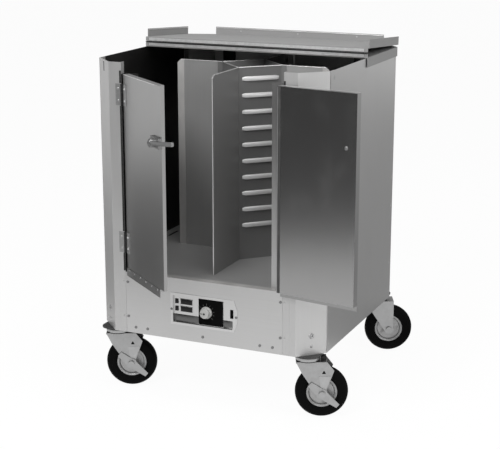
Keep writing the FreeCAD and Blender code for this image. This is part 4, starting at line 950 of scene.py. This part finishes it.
class PLATECART_OT_post_trim(CartOperator):
    """Screws, bumper bolts, laps, and dark strips and a black slot as painted shade on the posts;
    rivets and studs on the sides
    """

    bl_idname = "plate_cart.post_trim"
    bl_label = "Post trim"

    washer = ((0.0042, 0), (0.0078, 0), (0.0078, 0.0012), (0.007, 0.002), (0.0052, 0.002),
              (0.0042, 0.0012))

    def execute(self, context):
        rivet_radius = settings("fitting").rivet_radius
        screw = screw_shape(rivet_radius, 0.0012)
        rivet = screw_shape(rivet_radius, 0.0008, False)
        bolt = screw_shape(0.0038, 0.002)
        stud = screw_shape(0.006, 0.0009, True, 20)
        screws, bolts, slots, seals, laps = (bmesh.new() for _ in range(5))
        for side, end in CORNERS:
            self.add_seal(seals, side * 0.2509, end * (HALF_DEPTH + 0.0006))
            lap_x = sorted((side * 0.2488, side * 0.2682))
            lap_y = sorted((end * 0.3529, end * 0.3534))
            low, high = zip(lap_x, lap_y, (0.1915, 0.9865))
            bevelled_block(laps, low, high, 0.00015, 1)
            for z in (0.24, 0.345):
                stamp(screws, screw, facing((side * 0.2545, end * HALF_DEPTH, z), (0, end, 0)))
            corner = Vector((side * (HALF_WIDTH + FRONT_FLAT) / 2, end * CORNER_Y, 0))
            outward = Vector((side, end, 0)).normalized()
            upper, lower = (facing(corner + Vector((0, 0, z)), outward) for z in (0.246, 0.215))
            turned_ring(bolts, self.washer, upper, 28)
            stamp(bolts, bolt, upper)
            stamp(bolts, bolt, lower)
            if side < 0 and end < 0:
                self.add_slot(slots, corner, outward)
        for side in (-1, 1):
            spots = [(y, 0.215 + step * 0.0925) for step in range(9) for y in (-0.271, 0.271)]
            for y, z in spots:
                stamp(screws, rivet, facing((side * HALF_WIDTH, y, z), (side, 0, 0)))
            stamp(bolts, stud, facing((side * HALF_WIDTH, -0.257, 0.968), (side, 0, 0)))
        add_piece("post_screws", screws, "sheet_up")
        add_piece("bumper_bolts", bolts, "screw")
        # Black slot plate: painted shade
        add_piece("post_slot", slots, "black")
        # Dark strips along the posts' edges: painted shade
        add_piece("door_seals", seals, "pad")
        add_piece("post_laps", laps, "post_sheet", smooth=False)
        return {"FINISHED"}

    def add_seal(self, seals, x, y):
        """Flat dark strip on a post's edge, between the door's hinges: painted shade widening the
        gap beside the door.
        """
        section = rounded_section(0.0052, 0.0012, 0.0005, 3)
        upper, lower = HINGE_LEVELS
        room = 0.0325
        runs = ((0.379, lower - room), (lower + room, upper - room), (upper + room, 0.9645))
        for run in runs:
            straight_bar(seals, section, at(x, y, 0) @ UPRIGHT, run)

    def add_slot(self, slots, corner, outward):
        """Black plate near the top of a chamfer, in place of the shade inside a slot: painted
        shade.
        """
        across = outward.cross(Vector((0, 0, 1)))
        turn = Matrix((across, -outward, (0, 0, 1))).transposed().to_4x4()
        place = at(corner.x, corner.y, 0.9695) @ turn
        bevelled_block(slots, (-0.003, -0.0003, -0.014), (0.003, 0.0004, 0.014), 0.0003, 2, place)


class PLATECART_OT_lid_trim(CartOperator):
    """Rolled edges and rivets of the lid's skirts, and the ends of its hinge pin"""

    bl_idname = "plate_cart.lid_trim"
    bl_label = "Lid trim"

    def execute(self, context):
        rivet = screw_shape(settings("fitting").rivet_radius, 0.001, False, 14)
        pin_end = screw_shape(0.0024, 0.0108, False)
        folded = at(*LID_AXIS) @ spun(LID_FOLD, "X")
        places = on_face([(x, -LID_SKIRT_INNER, -0.027) for x in (-0.2, 0, 0.2)], BACK, folded)
        add_copies("lid_rivets", rivet, places, "screw", "front_lid")
        hems = bmesh.new()
        section = rounded_section(0.0022, 0.0022, 0.00105, 4)
        straight_bar(hems, section, folded @ at(0, -0.3592, LID_HEM), (-0.2872, 0, 0.2872))
        for x in (-0.3582, 0.3582):
            side = folded @ at(x, 0, LID_HEM) @ spun(QUARTER)
            straight_bar(hems, section, side, (-0.2882, -0.15, -0.0175))
        add_piece("lid_hems", hems, "hem", "front_lid")
        ends = [((x, *LID_AXIS.yz), (x, 0, 0)) for x in (-0.348, 0.348)]
        places = [facing(spot, direction) for spot, direction in ends]
        add_copies("lid_pin_ends", pin_end, places, "lid_hinge")
        return {"FINISHED"}


class PLATECART_OT_casters(CartOperator):
    """Plate bolts, races, tyres, wheel beads and brake fittings of the casters"""

    bl_idname = "plate_cart.casters"
    bl_label = "Casters"

    # Closed (radius, height) profiles about the kingpin, and the brake bracket's (x, z) outline
    race = ((0.0338, 0.1728), (0.035, 0.1734), (0.0354, 0.1776), (0.035, 0.1816), (0.0338, 0.1822))
    groove = ((0.0338, 0.1702), (0.0346, 0.1704), (0.0346, 0.1724), (0.0338, 0.1726))
    bracket = ((0.031, 0.1285), (0.0668, 0.1285), (0.0532, 0.0945), (0.0465, 0.0865), (0.036, 0.09))
    bead = ((0.0392, 0.0152), (0.0405, 0.0163), (0.0432, 0.0163), (0.0438, 0.0152))

    def execute(self, context):
        bolt = hex_shape(0.0034, 0.0036)
        spots = [
            (x + side * PLATE_BOLT, y + end * PLATE_BOLT, PLATE_UNDER)
            for x, y in CASTERS.values() for side, end in CORNERS
        ]
        places = on_face(spots, (0, 0, -1))
        add_copies("caster_plate_bolts", bolt, places, "zinc")
        for corner in CASTERS:
            self.dress_fork(corner)
            self.dress_wheel(corner)
        return {"FINISHED"}

    def dress_fork(self, corner):
        place, body = caster_place(corner), f"caster_{corner}"
        race, seal = bmesh.new(), bmesh.new()
        turned_ring(race, self.race, place, 56)
        add_piece(f"race_ring_{corner}", race, "bracket", body)
        # Black ring in the gap between race and fork: painted shade
        turned_ring(seal, self.groove, place, 56)
        add_piece(f"race_seal_{corner}", seal, "pad", body)
        if corner.startswith("front"):
            self.dress_brake(corner, place, body)

    def dress_brake(self, corner, place, body):
        opening, bracket, adjuster = (bmesh.new() for _ in range(3))
        # Black triangle for the dark inside of an opening in the fork: painted shade
        bmesh.ops.create_cone(
            opening, cap_ends=True, segments=3, radius1=0.0072, radius2=0.0068, depth=0.0005
        )
        uprights = [edge for edge in opening.edges if math.prod(v.co.z for v in edge.verts) < 0]
        round_off(opening, uprights, 0.0018, 3)
        opening.transform(place @ facing((0.045, -0.0276, 0.139), FRONT))
        add_piece(f"fork_opening_{corner}", opening, "black", body, False)
        back, front = -0.0277, -0.0284
        face = bracket.faces.new([bracket.verts.new((x, back, z)) for x, z in self.bracket])
        round_off(bracket, list(face.verts), 0.0022, 3, "VERTICES")
        made = bmesh.ops.extrude_face_region(bracket, geom=list(bracket.faces), use_keep_orig=True)
        bmesh.ops.translate(bracket, verts=verts_in(made["geom"]), vec=(0, front - back, 0))
        bracket.transform(place)
        add_piece(f"brake_bracket_{corner}", bracket, "bracket", body, False)
        low, high = (0.0375, -0.013, 0.1704), (0.0525, 0.013, 0.1815)
        bevelled_block(adjuster, low, high, 0.0016, 2, place)
        add_piece(f"brake_adjuster_{corner}", adjuster, "pad", body)

    def dress_wheel(self, corner):
        place, body = axle_place(corner), f"wheel_{corner}"
        tyre, rings = bmesh.new(), bmesh.new()
        ridge = settings("fitting").tyre_ridge
        # Radius, share of the half width, share of the ridge
        rows = ((0.044, 0.85, 0), (0.0465, 0.93, 0), (0.05, 0.96, 0), (0.0515, 0.96, 1),
                (0.0545, 0.97, 1), (0.056, 0.97, 0), (0.0645, 0.97, 0), (0.069, 0.88, 0),
                (0.0728, 0.68, 0), (0.0752, 0.4, 0), (0.076, 0.12, 0))
        side = [(radius, TYRE_HALF * width + ridge * share) for radius, width, share in rows]
        profile = side + [(radius, -height) for radius, height in reversed(side)]
        turned_ring(tyre, profile, place, 96)
        shown = add_piece(f"solid_tyre_{corner}", tyre, "tyre", body)
        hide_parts(f"tyre_{corner}")
        for sign in (1, -1):
            turned_ring(rings, [(radius, sign * height) for radius, height in self.bead], place, 64)
        add_piece(f"wheel_beads_{corner}", rings, "wheel", body)


class PLATECART_OT_inlet(CartOperator):
    """Screws of the power inlet"""

    bl_idname = "plate_cart.inlet"
    bl_label = "Power inlet"

    def execute(self, context):
        spots = [INLET + 0.025 * Vector((x, 0, z)) for x, z in CORNERS]
        head = screw_shape(0.0036, 0.0018)
        add_copies("inlet_screws", head, on_face(spots, BACK), "screw")
        return {"FINISHED"}


class PLATECART_OT_stage(CartOperator):
    """Pale floor, soft lamps, grey cards and the camera"""

    bl_idname = "plate_cart.stage"
    bl_label = "Studio"

    # Name, brightness and corners; a card without heights lies just above the floor
    cards = (
        ("far card", 0.09, (
            (-0.9, -3.7, 0), (-2.7, -2.2, 0), (-2.7, -2.2, 2.6), (-0.9, -3.7, 2.6)
        )),
        ("near card", 0.1, ((-0.22, -2.32), (-1.82, -1.02), (-2.7, -2.2), (-0.9, -3.7))),
        ("left card", 0.14, ((-3.4, -0.7), (-0.95, -0.7), (-0.95, 1.3), (-3.4, 1.3))),
        ("back card", 0.4, ((0.4, 0.2), (4, 0.2), (4, 6), (0.4, 6))),
    )
    card_rise = 0.004

    def execute(self, context):
        studio = settings("studio")
        self.add_floor(studio)
        self.add_room(studio)
        self.add_lamp("main lamp", (-0.4, -3.4, 3.4), (0, 0, 0.6), 1.6, studio.key_power)
        self.add_lamp("fill lamp", (3.2, -1.2, 2.6), (0, 0, 0.55), 2.2, studio.fill_power)
        self.add_lamp("top lamp", (0.3, -0.6, 3.6), (0, 0, 0.6), 1.6, studio.fill_power)
        self.add_cards()
        self.add_camera()
        context.scene.view_settings.view_transform = "Standard"
        return {"FINISHED"}

    def add_floor(self, studio):
        paint = Paint("studio floor")
        matt = paint.node("BsdfDiffuse", {"Color": (*studio.floor_colour, 1)})
        share = 0.95 * paint.rays("Camera", "Glossy")
        mixed = paint.node("MixShader", {0: share, 1: matt, 2: paint.glow(1.0)})
        ground = bmesh.new()
        bmesh.ops.create_grid(ground, x_segments=2, y_segments=2, size=40)
        self.add_prop("floor", ground, paint.surface(mixed))

    def add_cards(self):
        """Grey cards that only the metal mirrors, for contrast in the sheets."""
        low = (self.card_rise,)
        for name, level, corners in self.cards:
            paint, sheet = Paint(name), bmesh.new()
            sheet.faces.new([sheet.verts.new((corner + low)[:3]) for corner in corners])
            thing = self.add_prop(name, sheet, paint.surface(paint.glow(level)))
            for rays in ("camera", "diffuse", "transmission", "shadow"):
                setattr(thing, f"visible_{rays}", False)

    def add_prop(self, name, bm, material):
        mesh = to_mesh(bm, name)
        mesh.materials.append(material)
        thing = new_object(name, mesh)
        return thing

    def add_room(self, studio):
        """Even light from all round, and white where the camera sees past the floor."""
        paint = Paint("studio", "worlds")
        light, white = (
            paint.node("Background", {"Color": WHITE, "Strength": level})
            for level in (studio.daylight, 1.0)
        )
        share = paint.rays("Camera", "Transmission")
        both = paint.node("MixShader", {0: share, 1: light, 2: white})
        bpy.context.scene.world = paint.surface(both, "OutputWorld")

    def add_lamp(self, name, spot, aim, size, power):
        light = bpy.data.lights.new(name, "AREA")
        light.shape = "DISK"
        light.size = size
        light.energy = power
        thing = new_object(name, light)
        thing.location = spot
        thing.rotation_euler = (Vector(aim) - Vector(spot)).to_track_quat("-Z", "Y").to_euler()

    def add_camera(self):
        lens = bpy.data.cameras.new("camera")
        lens.sensor_width = 36
        lens.lens = 95.47
        thing = new_object("camera", lens)
        thing.location = (1.58418, -3.607, 1.48468)
        thing.rotation_euler = (QUARTER - 0.2546, 0, 0.4154)
        bpy.context.scene.camera = thing


STEPS = (
    PLATECART_OT_finishes,
    PLATECART_OT_louvres,
    PLATECART_OT_hem_edges,
    PLATECART_OT_hinge_screws,
    PLATECART_OT_door_trim,
    PLATECART_OT_latches,
    PLATECART_OT_control_face,
    PLATECART_OT_knob,
    PLATECART_OT_post_trim,
    PLATECART_OT_lid_trim,
    PLATECART_OT_casters,
    PLATECART_OT_inlet,
    PLATECART_OT_stage,
)


class PLATECART_PT_panel(bpy.types.Panel):
    bl_idname = "PLATECART_PT_panel"
    bl_label = "Plate cart"
    bl_space_type = "VIEW_3D"
    bl_region_type = "UI"
    bl_category = "Plate cart"

    def draw(self, context):
        for step in STEPS:
            self.layout.operator(step.bl_idname, text=step.bl_label)
        for group in GROUPS:
            box = self.layout.box()
            values = settings(group)
            for key in values.__annotations__:
                box.prop(values, key)


GROUPS = {"finish": FinishSettings, "fitting": FittingSettings, "studio": StudioSettings}
CLASSES = (*GROUPS.values(), *STEPS, PLATECART_PT_panel)


def register():
    for item in CLASSES:
        bpy.utils.register_class(item)
    for name, group in GROUPS.items():
        setattr(bpy.types.Scene, f"plate_cart_{name}", PointerProperty(type=group))


def unregister():
    for name in GROUPS:
        delattr(bpy.types.Scene, f"plate_cart_{name}")
    for item in reversed(CLASSES):
        bpy.utils.unregister_class(item)


def main():
    register()
    for step in STEPS:
        family, action = step.bl_idname.split(".")
        getattr(getattr(bpy.ops, family), action)()


if __name__ == "__main__":
    main()
